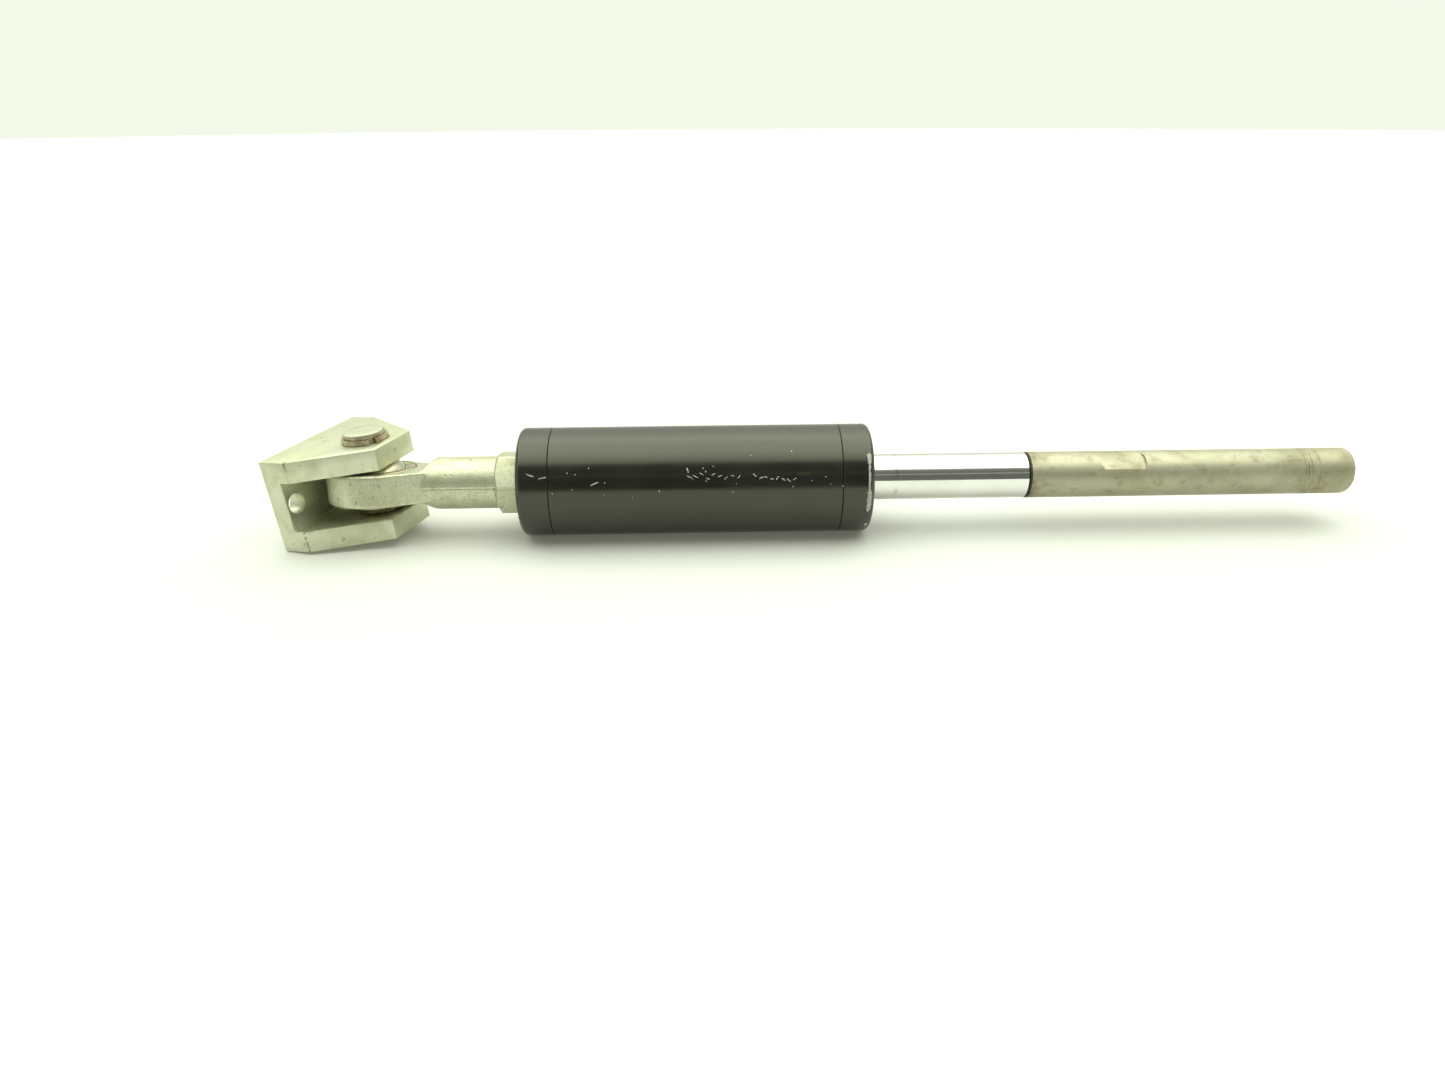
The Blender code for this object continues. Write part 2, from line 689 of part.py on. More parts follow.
def sphere_arc(radius, half_width, count, downward):
    """Arc of a sphere's outline between the planes at plus and minus half_width."""
    limit = math.degrees(math.asin(half_width / radius))
    start, end = (limit, -limit) if downward else (-limit, limit)
    return arc((0.0, 0.0), radius, start, end, count)


def build_bearing(eye_frame, bearing_frame, tilt_frame):
    """Bronze race in the eye, and the sliding liner and ball that tilt in it."""
    outer = RACE_OUTER_RADIUS
    half = EYE_HALF_THICKNESS
    chamfer = 0.0007
    race_points = [
        (outer - chamfer, half),
        (outer, half - chamfer),
        (outer, chamfer - half),
        (outer - chamfer, -half),
        *sphere_arc(RACE_SPHERE, half, 6, downward=False),
    ]
    turned("bearing_race", race_points, eye_frame, "bronze", closed=True, along_x=False)
    liner_points = [
        *sphere_arc(LINER_OUTER_SPHERE, LINER_HALF_WIDTH, 6, downward=True),
        *sphere_arc(LINER_INNER_SPHERE, LINER_HALF_WIDTH, 6, downward=False),
    ]
    turned("bearing_liner", liner_points, bearing_frame, "white_polymer", closed=True,
           along_x=False)
    ball_points = [
        *sphere_arc(BALL_SPHERE, BALL_HALF_WIDTH, 8, downward=True),
        (BALL_BORE, -BALL_HALF_WIDTH),
        (BALL_BORE, BALL_HALF_WIDTH),
    ]
    turned("bearing_ball", ball_points, tilt_frame, "machined_steel", closed=True,
           along_x=False)


def build_pin(tilt_frame):
    """Clevis pin, held by a spring ring under its head and another below the lower ear."""
    chamfer = 0.0005
    upper = BRACKET_HALF_HEIGHT + BRACKET_LIFT + GAP
    lower = BRACKET_LIFT - BRACKET_HALF_HEIGHT - GAP
    points = [
        (0.0, PIN_TOP),
        (PIN_HEAD_RADIUS - chamfer, PIN_TOP),
        (PIN_HEAD_RADIUS, PIN_TOP - chamfer),
        (PIN_HEAD_RADIUS, PIN_HEAD_BASE),
        (PIN_RADIUS, PIN_HEAD_BASE),
        (PIN_RADIUS, PIN_BOTTOM + chamfer),
        (PIN_RADIUS - chamfer, PIN_BOTTOM),
        (0.0, PIN_BOTTOM),
    ]
    turned("clevis_pin", points, tilt_frame, "brown_steel", along_x=False)
    inner = PIN_RADIUS + GAP
    spans = {
        "upper_pin_ring": (upper, upper + RING_THICKNESS),
        "lower_pin_ring": (lower - LOWER_RING_THICKNESS, lower),
    }
    for name, span in spans.items():
        ring(name, (inner, inner + RING_SECTION), span, tilt_frame, "brown_steel", along_x=False)


def build_clevis(clevis_frame):
    """One-piece bracket: base plate, two tapered ears, pin bore and two bolt holes."""
    outline = [
        (MOUNT_FACE, -BRACKET_HALF_WIDTH),
        (SHOULDER, -BRACKET_HALF_WIDTH),
        (EAR_TIP, -TIP_HALF_WIDTH),
        (EAR_TIP, TIP_HALF_WIDTH),
        (SHOULDER, BRACKET_HALF_WIDTH),
        (MOUNT_FACE, BRACKET_HALF_WIDTH),
    ]
    bracket = extrusion("clevis_bracket", outline, BRACKET_HALF_HEIGHT, clevis_frame, "zinc_plate")
    slot_length = EAR_TIP - POCKET_FLOOR + CUT_MARGIN
    slot = prism(
        "clevis_slot_cutter",
        (slot_length, 2 * BRACKET_HALF_WIDTH + CUT_MARGIN, 2 * SLOT_HALF_HEIGHT),
        (POCKET_FLOOR + slot_length / 2, 0.0, 0.0), clevis_frame,
    )
    combine(bracket, slot, "DIFFERENCE")
    bevel(bracket, BRACKET_EDGE)
    height = 2 * (BRACKET_HALF_HEIGHT + CUT_MARGIN)
    pin_bore = rod_shape(
        "pin_bore_cutter", PIN_RADIUS + GAP, height, (0, 0, 0), clevis_frame, sides=48
    )
    combine(bracket, pin_bore, "DIFFERENCE")
    middle = (MOUNT_FACE + POCKET_FLOOR) / 2
    depth = POCKET_FLOOR - MOUNT_FACE + 2 * CUT_MARGIN
    for side in (-1, 1):
        hole = rod_shape(
            f"bolt_hole_cutter_{side + 2}", BOLT_HOLE_RADIUS, depth,
            (middle, side * BOLT_SPACING / 2, 0.0), clevis_frame,
            rotation=(0.0, math.pi / 2, 0.0),
        )
        combine(bracket, hole, "DIFFERENCE")


def world_bounds():
    """Lowest and highest corner of all the parts, as the viewport evaluates them."""
    graph = bpy.context.evaluated_depsgraph_get()
    low = Vector((math.inf,) * 3)
    high = Vector((-math.inf,) * 3)
    for item in PARTS.objects:
        if item.type != "MESH":
            continue
        shape = item.evaluated_get(graph)
        for vertex in shape.data.vertices:
            point = shape.matrix_world @ vertex.co
            low = Vector(map(min, low, point))
            high = Vector(map(max, high, point))
    return low, high


def centre_on_floor(root):
    """Move the whole object so that its box stands centred on the origin."""
    bpy.context.view_layer.update()
    low, high = world_bounds()
    middle = (low + high) / 2
    root.location = (-middle.x, -middle.y, -low.z)
    bpy.context.view_layer.update()


def build():
    root = make_empty("cylinder_frame", None)
    slide_frame = make_empty("piston_slide_frame", root)
    rod_frame = make_empty("rod_spin_frame", slide_frame)
    separator_frame = make_empty("separator_slide_frame", root)
    eye_frame = make_empty(
        "rod_end_frame", root, location=(BALL_X, 0.0, 0.0), rotation=(EYE_ROLL, 0.0, 0.0)
    )
    bearing_frame = make_empty("bearing_frame", root, location=(BALL_X, 0.0, 0.0))
    tilt_frame = make_empty("bearing_tilt_frame", bearing_frame, rotation=(0.0, LEAN, 0.0))
    clevis_frame = make_empty(
        "clevis_swivel_frame", tilt_frame, location=(0.0, 0.0, BRACKET_LIFT),
        rotation=(0.0, 0.0, SWIVEL),
    )
    build_barrel_tube(root)
    build_rear_cap(root)
    build_filling_plug(root)
    build_front_cap(root)
    build_gland_rings(root)
    build_rod(rod_frame)
    build_rod_extension(rod_frame)
    build_piston(rod_frame, slide_frame)
    build_piston_fasteners(rod_frame)
    build_separator(separator_frame)
    build_mounting_stud(root)
    build_rod_end_housing(root, eye_frame)
    build_bearing(eye_frame, bearing_frame, tilt_frame)
    build_pin(tilt_frame)
    build_clevis(clevis_frame)
    centre_on_floor(root)


clear_scene()
PARTS = make_collection(COLLECTION_NAME)
CUTTERS = make_collection("cutters")
build()
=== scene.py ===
"""Looks of the hydraulic cylinder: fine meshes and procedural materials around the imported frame."""
import json
import math
import random

import bmesh
import bpy
from mathutils import Matrix, Vector


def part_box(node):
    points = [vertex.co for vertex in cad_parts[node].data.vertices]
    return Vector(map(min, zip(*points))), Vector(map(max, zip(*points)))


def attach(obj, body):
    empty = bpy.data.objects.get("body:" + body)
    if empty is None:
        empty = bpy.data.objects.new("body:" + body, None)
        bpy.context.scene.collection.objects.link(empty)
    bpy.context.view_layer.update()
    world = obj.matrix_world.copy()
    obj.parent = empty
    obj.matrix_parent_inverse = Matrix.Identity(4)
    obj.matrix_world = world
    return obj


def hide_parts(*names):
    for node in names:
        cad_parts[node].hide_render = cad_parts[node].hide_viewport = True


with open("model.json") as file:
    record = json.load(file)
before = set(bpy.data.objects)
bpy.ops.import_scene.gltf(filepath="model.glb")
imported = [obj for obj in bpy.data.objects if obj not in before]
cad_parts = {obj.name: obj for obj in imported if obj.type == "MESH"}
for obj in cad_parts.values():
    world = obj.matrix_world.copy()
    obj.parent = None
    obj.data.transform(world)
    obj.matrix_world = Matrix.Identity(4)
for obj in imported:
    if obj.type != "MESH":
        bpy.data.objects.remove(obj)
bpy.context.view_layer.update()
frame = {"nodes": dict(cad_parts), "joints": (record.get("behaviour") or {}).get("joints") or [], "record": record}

MM = 0.001

# The cylinder axis runs along X through these, and axial places are counted from the rear seam.
TUBE_LOW, TUBE_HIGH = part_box("barrel_tube")
AXIS_Y = (TUBE_LOW.y + TUBE_HIGH.y) / 2
AXIS_Z = (TUBE_LOW.z + TUBE_HIGH.z) / 2
BARREL_RADIUS = (TUBE_HIGH.z - TUBE_LOW.z) / 2
SEAM = Vector((TUBE_LOW.x, AXIS_Y, AXIS_Z))
REAR_END_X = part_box("rear_cap")[0].x
FRONT_END_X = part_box("front_cap")[1].x
BORE_RADIUS = 0.0225
CAP_FILLET = 0.0030

ROD_RADIUS = 0.01215
EXTENSION_RADIUS = 0.0122
JOINT_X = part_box("rod_extension")[0].x
EXTENSION_END_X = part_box("rod_extension")[1].x

# The spherical bearing's centre, and the bracket's own directions: towards its ear tips, across
# its ears, and along the pin.
PIVOT = next(j for j in frame["joints"] if j["name"] == "clevis_swivel")
BALL_CENTRE = Vector(PIVOT["pos_m"])
PIN_AXIS = Vector(PIVOT["axis"]).normalized()
MOUNT = next(m for m in frame["record"]["mounts"] if m["name"] == "bracket_mounting_face")
TIP_DIRECTION = -Vector(MOUNT["axis"]).normalized()
CROSS_DIRECTION = PIN_AXIS.cross(TIP_DIRECTION).normalized()

ALONG_X = Matrix.Translation((0.0, AXIS_Y, AXIS_Z)) @ Matrix.Rotation(math.pi / 2, 4, "Y")


def columns(centre, x_axis, y_axis, z_axis):
    turn = Matrix((x_axis, y_axis, z_axis)).transposed().to_4x4()
    return Matrix.Translation(centre) @ turn


# The bracket has slid a little up its pin, and the rod end lies rolled with its near side up.
BRACKET_LIFT = 0.0003
EYE_ROLL = math.radians(-9.5)
PIN_PLACE = columns(BALL_CENTRE, TIP_DIRECTION, CROSS_DIRECTION, PIN_AXIS)
BRACKET = PIN_PLACE @ Matrix.Translation((0.0, 0.0, BRACKET_LIFT))
BEARING = Matrix.Translation(BALL_CENTRE)
EYE = BEARING @ Matrix.Rotation(EYE_ROLL, 4, "X")
EYE_NORMAL = EYE.to_3x3() @ Vector((0.0, 0.0, 1.0))
PIN_TOP = 0.0299
# Where the bracket's straight sides end and its ears start to taper, from the pin axis.
SHOULDER = -0.0216
BRACKET_HALF_WIDTH = 0.0365
# Where the eye has blended into the shank, from the ball's centre.
NECK_START, NECK_END = 0.022, 0.032


# ---------------------------------------------------------------- meshes

def finish_mesh(name, shape, sharp=32.0):
    """Turn a bmesh into a linked object with smooth faces and sharp corners."""
    bmesh.ops.recalc_face_normals(shape, faces=shape.faces)
    mesh = bpy.data.meshes.new(name)
    shape.to_mesh(mesh)
    shape.free()
    mesh.shade_smooth()
    mesh.set_sharp_from_angle(angle=math.radians(sharp))
    item = bpy.data.objects.new(name, mesh)
    bpy.context.scene.collection.objects.link(item)
    return item


def soften(outline, radius, closed=True, count=3):
    """Round each corner of an outline that has room for it."""
    made = []
    total = len(outline)
    for i, point in enumerate(outline):
        here = Vector(point)
        if not closed and i in (0, total - 1):
            made.append(tuple(here))
            continue
        before = Vector(outline[i - 1]) - here
        after = Vector(outline[(i + 1) % total]) - here
        turn = before.angle(-after)
        room = min(before.length, after.length) * 0.45
        cut = min(radius * math.tan(turn / 2), room)
        if turn < math.radians(25) or cut < 0.00001:
            made.append(tuple(here))
            continue
        start = here + before.normalized() * cut
        end = here + after.normalized() * cut
        for step in range(count + 1):
            t = step / count
            made.append(tuple(start * (1 - t) ** 2 + here * 2 * t * (1 - t) + end * t ** 2))
    return made


def arc(centre, radius, start, end, count):
    """(along, radius) points on an arc, angles in degrees from the radial direction."""
    points = []
    for i in range(count + 1):
        angle = math.radians(start + (end - start) * i / count)
        along = centre[0] + radius * math.sin(angle)
        points.append((along, centre[1] + radius * math.cos(angle)))
    return points


def lathe(name, outline, place, steps=160, closed=True, sharp=32.0):
    """Spin (along, radius) points about the place's Z axis."""
    shape = bmesh.new()
    rings = []
    for along, radius in outline:
        if radius < 1e-7:
            rings.append([shape.verts.new(place @ Vector((0.0, 0.0, along)))])
            continue
        ring = []
        for i in range(steps):
            angle = 2 * math.pi * i / steps
            spot = Vector((radius * math.cos(angle), radius * math.sin(angle), along))
            ring.append(shape.verts.new(place @ spot))
        rings.append(ring)
    pairs = list(zip(rings, rings[1:]))
    if closed:
        pairs.append((rings[-1], rings[0]))
    for one, two in pairs:
        bridge(shape, one, two, steps)
    return finish_mesh(name, shape, sharp)


def bridge(shape, one, two, steps):
    for i in range(steps):
        j = (i + 1) % steps
        if len(one) == 1 and len(two) == 1:
            return
        if len(one) == 1:
            shape.faces.new((one[0], two[j], two[i]))
        elif len(two) == 1:
            shape.faces.new((one[i], one[j], two[0]))
        else:
            shape.faces.new((one[i], one[j], two[j], two[i]))


def extruded(name, outline, half, place):
    """A flat outline extruded both ways along the place's Z axis."""
    shape = bmesh.new()
    base = [shape.verts.new((x, y, -half)) for x, y in outline]
    face = shape.faces.new(base)
    made = bmesh.ops.extrude_face_region(shape, geom=[face])
    tops = [part for part in made["geom"] if isinstance(part, bmesh.types.BMVert)]
    bmesh.ops.translate(shape, vec=(0.0, 0.0, 2 * half), verts=tops)
    shape.transform(place)
    return finish_mesh(name, shape)


def apply_modifiers(item):
    """Bake an object's modifiers into its mesh."""
    bpy.context.view_layer.update()
    graph = bpy.context.evaluated_depsgraph_get()
    mesh = bpy.data.meshes.new_from_object(item.evaluated_get(graph))
    item.modifiers.clear()
    item.data = mesh


def cut(item, tool, operation="DIFFERENCE"):
    """Apply a Boolean with a tool that is then thrown away."""
    boolean = item.modifiers.new("cut", "BOOLEAN")
    boolean.operation = operation
    boolean.solver = "EXACT"
    boolean.object = tool
    apply_modifiers(item)
    bpy.data.objects.remove(tool, do_unlink=True)


def round_edges(item, width, segments=3, angle=40.0):
    bevel = item.modifiers.new("edges", "BEVEL")
    bevel.width = width
    bevel.segments = segments
    bevel.limit_method = "ANGLE"
    bevel.angle_limit = math.radians(angle)
    bevel.harden_normals = False
    apply_modifiers(item)
    reshade(item)


def reshade(item, sharp=32.0):
    item.data.shade_smooth()
    item.data.set_sharp_from_angle(angle=math.radians(sharp))


def install(item, body, slot, material, *nodes):
    """Dress a piece, hang it on its body and let it stand for its CAD nodes."""
    item.data.materials.clear()
    item.data.materials.append(material)
    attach(item, body)
    if nodes:
        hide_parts(*nodes)
    return item


# ---------------------------------------------------------------- material graph

class Graph:
    """Short names for building a Principled material's node tree."""

    def __init__(self, name, roughness, metallic, colour=(0.5, 0.5, 0.5)):
        self.material = bpy.data.materials.new(name)
        self.material.use_nodes = True
        self.tree = self.material.node_tree
        self.shader = self.tree.nodes["Principled BSDF"]
        self.set("Roughness", roughness)
        self.set("Metallic", metallic)
        self.set("Base Color", (*colour, 1.0))
        self.place = self.node("ShaderNodeTexCoord").outputs["Object"]

    def node(self, kind, **settings):
        made = self.tree.nodes.new(kind)
        for key, value in settings.items():
            setattr(made, key, value)
        return made

    def feed(self, socket, value):
        if isinstance(value, bpy.types.NodeSocket):
            self.tree.links.new(value, socket)
        elif value is not None:
            socket.default_value = value

    def set(self, name, value):
        self.feed(self.shader.inputs[name], value)

    def math(self, operation, *values, clamp=False):
        made = self.node("ShaderNodeMath", operation=operation, use_clamp=clamp)
        for socket, value in zip(made.inputs, values):
            self.feed(socket, value)
        return made.outputs[0]

    def vector(self, operation, *values):
        made = self.node("ShaderNodeVectorMath", operation=operation)
        for socket, value in zip(made.inputs, values):
            self.feed(socket, value)
        out = "Value" if operation in ("DOT_PRODUCT", "LENGTH", "DISTANCE") else "Vector"
        return made.outputs[out]

    def scaled(self, factors, source=None):
        return self.vector("MULTIPLY", source or self.place, factors)

    def along(self):
        """The place along the cylinder."""
        return self.vector("DOT_PRODUCT", self.place, (1.0, 0.0, 0.0))

    def noise(self, scale, detail=3.0, roughness=0.5, source=None, distortion=0.0):
        made = self.node("ShaderNodeTexNoise")
        self.feed(made.inputs["Vector"], source or self.place)
        made.inputs["Scale"].default_value = scale
        made.inputs["Detail"].default_value = detail
        made.inputs["Roughness"].default_value = roughness
        made.inputs["Distortion"].default_value = distortion
        return made.outputs["Fac"]

    def span(self, value, low, high, out_low=0.0, out_high=1.0):
        """Smooth map of a value from one range to another."""
        made = self.node("ShaderNodeMapRange", interpolation_type="SMOOTHSTEP")
        for name, number in (
            ("Value", value), ("From Min", low), ("From Max", high),
            ("To Min", out_low), ("To Max", out_high),
        ):
            self.feed(made.inputs[name], number)
        return made.outputs["Result"]

    def blend(self, factor, one, two):
        made = self.node("ShaderNodeMix", data_type="RGBA")
        self.feed(made.inputs["Factor"], factor)
        for socket, value in ((made.inputs["A"], one), (made.inputs["B"], two)):
            self.feed(socket, (*value, 1.0) if isinstance(value, tuple) else value)
        return made.outputs["Result"]

    def bump(self, height, strength, distance, previous=None):
        made = self.node("ShaderNodeBump")
        made.inputs["Strength"].default_value = strength
        made.inputs["Distance"].default_value = distance
        self.feed(made.inputs["Height"], height)
        if previous is not None:
            self.feed(made.inputs["Normal"], previous)
        self.set("Normal", made.outputs["Normal"])
        return made.outputs["Normal"]


def build_stroke_group():
    """Node group: how strongly a flat place lies within a stroke from Start to End."""
    group = bpy.data.node_groups.new("stroke", "ShaderNodeTree")
    for name in ("Place", "Start", "End"):
        group.interface.new_socket(name, in_out="INPUT", socket_type="NodeSocketVector")
    group.interface.new_socket("Width", in_out="INPUT", socket_type="NodeSocketFloat")
    group.interface.new_socket("Mask", in_out="OUTPUT", socket_type="NodeSocketFloat")
    nodes, links = group.nodes, group.links
    entry = nodes.new("NodeGroupInput")
    leave = nodes.new("NodeGroupOutput")

    def vector(operation, *sources):
        made = nodes.new("ShaderNodeVectorMath")
        made.operation = operation
        for socket, source in zip(made.inputs, sources):
            links.new(source, socket)
        return made

    reach = vector("SUBTRACT", entry.outputs["Place"], entry.outputs["Start"]).outputs["Vector"]
    run = vector("SUBTRACT", entry.outputs["End"], entry.outputs["Start"]).outputs["Vector"]
    along = vector("DOT_PRODUCT", reach, run).outputs["Value"]
    square = vector("DOT_PRODUCT", run, run).outputs["Value"]
    share = nodes.new("ShaderNodeMath")
    share.operation = "DIVIDE"
    share.use_clamp = True
    links.new(along, share.inputs[0])
    links.new(square, share.inputs[1])
    foot = nodes.new("ShaderNodeVectorMath")
    foot.operation = "SCALE"
    links.new(run, foot.inputs[0])
    links.new(share.outputs[0], foot.inputs["Scale"])
    away = vector("DISTANCE", reach, foot.outputs["Vector"]).outputs["Value"]
    near = nodes.new("ShaderNodeMapRange")
    near.interpolation_type = "SMOOTHSTEP"
    near.inputs["From Min"].default_value = 0.0
    near.inputs["To Min"].default_value = 1.0
    near.inputs["To Max"].default_value = 0.0
    links.new(away, near.inputs["Value"])
    links.new(entry.outputs["Width"], near.inputs["From Max"])
    links.new(near.outputs["Result"], leave.inputs["Mask"])
    return group


STROKE = build_stroke_group()


def unrolled(graph):
    """Places on the barrel in millimetres: along the axis, and round it from the front."""
    offset = graph.vector("SUBTRACT", graph.place, tuple(SEAM))
    parts = graph.node("ShaderNodeSeparateXYZ")
    graph.feed(parts.inputs[0], offset)
    forward = graph.math("MULTIPLY", parts.outputs["Y"], -1.0)
    angle = graph.math("ARCTAN2", parts.outputs["Z"], forward)
    flat = graph.node("ShaderNodeCombineXYZ")
    graph.feed(flat.inputs["X"], graph.math("MULTIPLY", parts.outputs["X"], 1 / MM))
    graph.feed(flat.inputs["Y"], graph.math("MULTIPLY", angle, BARREL_RADIUS / MM))
    return flat.outputs["Vector"]


def on_barrel(along, degrees):
    """A place in the unrolled barrel's millimetres."""
    return (along, math.radians(degrees) * BARREL_RADIUS / MM, 0.0)


def strokes(graph, place, marks):
    """Largest mask of several strokes, each (start, end, width)."""
    total = None
    for start, end, width in marks:
        made = graph.node("ShaderNodeGroup", node_tree=STROKE)
        graph.feed(made.inputs["Place"], place)
        graph.feed(made.inputs["Start"], on_barrel(*start))
        graph.feed(made.inputs["End"], on_barrel(*end))
        graph.feed(made.inputs["Width"], width)
        mask = made.outputs["Mask"]
        total = mask if total is None else graph.math("MAXIMUM", total, mask)
    return total


# ---------------------------------------------------------------- finishes

# Wear on the barrel, in millimetres along from the rear seam and degrees above the front.
# A row of scratches is (start, end, strokes, width); their exact places are drawn at random.
SCRATCH_ROWS = [
    ((-11, 26), (1, 25), 2, 0.5),
    ((21, 18), (27, 18), 1, 0.6),
    ((70, 35), (71, 25), 2, 0.5),
    ((70, 25), (98, 22), 9, 0.45),
    ((103, 23), (126, 19), 8, 0.5),
]
# How far a stroke's ends stray from its row, in degrees.
STRAY = 3.2
# Loose specks are scattered over the side that has rubbed.
SPECK_COUNT = 24
SPECK_ALONG = (-14, 150)
SPECK_ANGLES = (0, 60)
SPECK_WIDTHS = (0.35, 0.65)
# The front cap's rim is chipped along (from angle, to angle, width), widest at its two ends,
# this far past the place where its rounded edge starts.
RIM_CHIPS = [(46, 34, 1.5), (35, 8, 0.9), (9, -18, 1.7), (-36, -42, 1.2)]
RIM_PAST = 0.0
# A flake's top stands this far over the coating, in metres.
CHIP_RISE = 0.00002
CHIP_THICKNESS = 0.00004
RUST_SPECK = [((12, 12), (12.3, 12), 0.7)]
BROWN_SMEAR = [((127, 25), (131, 25), 1.6)]


def black_coating():
    graph = Graph("black_coating_worn", 0.2, 0.0)
    flat = unrolled(graph)
    rust = graph.span(strokes(graph, flat, RUST_SPECK), 0.2, 0.6)
    smear = strokes(graph, flat, BROWN_SMEAR)
    streaks = graph.noise(60.0, 4.0, 0.6, graph.scaled((0.35, 4.0, 4.0)))
    clouds = graph.noise(45.0, 3.0, 0.55)
    dust = graph.span(graph.noise(1500.0, 2.0, 0.6), 0.66, 0.74)
    base = graph.blend(graph.span(clouds, 0.35, 0.7), (0.0085, 0.0085, 0.0075),
                       (0.0125, 0.0122, 0.0105))
    base = graph.blend(graph.math("MULTIPLY", dust, 0.10), base, (0.20, 0.19, 0.15))
    base = graph.blend(graph.math("MULTIPLY", smear, 0.5), base, (0.055, 0.035, 0.018))
    base = graph.blend(rust, base, (0.30, 0.12, 0.05))
    graph.set("Base Color", base)
    gloss = graph.span(streaks, 0.3, 0.7, 0.13, 0.19)
    graph.set("Roughness", graph.math("ADD", gloss, graph.span(clouds, 0.3, 0.8, 0.0, 0.05)))
    graph.set("Specular IOR Level", 0.78)
    graph.set("Specular Tint", (1.0, 1.0, 0.82, 1.0))
    graph.bump(streaks, 0.06, 0.00004)
    return graph.material


# Metres from the rear seam: a stain on the rod, the joint with the extension, and fine rings
# scratched into the extension.
STAIN_AT = 0.1795
JOINT_AT = 0.2501
RING_MARKS = (0.3962, 0.3978, 0.3998, 0.4040)


def hard_chrome():
    graph = Graph("hard_chrome_polished", 0.07, 1.0)
    lines = graph.noise(900.0, 2.0, 0.6, graph.scaled((1.0, 0.02, 0.02)))
    film = graph.noise(70.0, 4.0, 0.6)
    base = graph.blend(graph.span(film, 0.35, 0.75), (0.82, 0.82, 0.80), (0.76, 0.76, 0.72))
    apart = graph.math("ABSOLUTE", graph.math("SUBTRACT", graph.along(), SEAM.x + STAIN_AT))
    stain = graph.math("MULTIPLY", graph.span(apart, 0.0003, 0.0016, 0.6, 0.0),
                       graph.span(graph.noise(260.0, 3.0, 0.6), 0.40, 0.60))
    base = graph.blend(stain, base, (0.52, 0.47, 0.30))
    graph.set("Base Color", base)
    gloss = graph.span(lines, 0.35, 0.7, 0.05, 0.10)
    graph.set("Roughness", graph.math("ADD", gloss, graph.span(film, 0.45, 0.8, 0.0, 0.10)))
    graph.bump(lines, 0.04, 0.00003)
    return graph.material


def stained_steel():
    """The extension: dull turned steel with a yellowish cast, brown stains, rubbed marks, and painted shade in the
    groove at its joint with the rod.
    """
    graph = Graph("dull_steel_stained", 0.5, 0.75)
    turning = graph.noise(2600.0, 2.0, 0.6, graph.scaled((1.0, 0.01, 0.01)))
    blotch = graph.noise(38.0, 5.0, 0.62, graph.scaled((0.8, 1.0, 1.0)), 0.4)
    small = graph.noise(210.0, 4.0, 0.6, graph.scaled((0.7, 1.0, 1.0)))
    pores = graph.span(graph.noise(900.0, 2.0, 0.6), 0.62, 0.72)
    base = graph.blend(graph.span(blotch, 0.40, 0.66), (0.47, 0.45, 0.33), (0.38, 0.36, 0.245))
    base = graph.blend(graph.span(small, 0.50, 0.74, 0.0, 0.55), base, (0.26, 0.23, 0.14))
    base = graph.blend(graph.math("MULTIPLY", pores, 0.5), base, (0.21, 0.18, 0.12))
    for place in RING_MARKS:
        apart = graph.math("ABSOLUTE", graph.math("SUBTRACT", graph.along(), SEAM.x + place))
        ring = graph.math("MULTIPLY", graph.span(apart, 0.0001, 0.00035, 0.75, 0.0),
                          graph.span(small, 0.38, 0.52))
        base = graph.blend(ring, base, (0.20, 0.18, 0.12))
    past = graph.math("SUBTRACT", graph.along(), SEAM.x + JOINT_AT)
    soot = graph.math("MULTIPLY", graph.span(past, 0.001, 0.007, 0.75, 0.0),
                      graph.span(small, 0.40, 0.62))
    base = graph.blend(soot, base, (0.20, 0.17, 0.10))
    # Painted shade: the first 0.8 mm past the joint is near-black, standing in for the shade in the groove between
    # rod and extension.
    base = graph.blend(graph.span(past, 0.0008, 0.0011, 0.92, 0.0), base, (0.03, 0.03, 0.025))
    graph.set("Base Color", base)
    gloss = graph.span(blotch, 0.35, 0.7, 0.46, 0.60)
    graph.set("Roughness", graph.math("ADD", gloss, graph.span(small, 0.4, 0.8, 0.0, 0.08)))
    graph.bump(turning, 0.10, 0.00004, graph.bump(small, 0.10, 0.0002))
    return graph.material


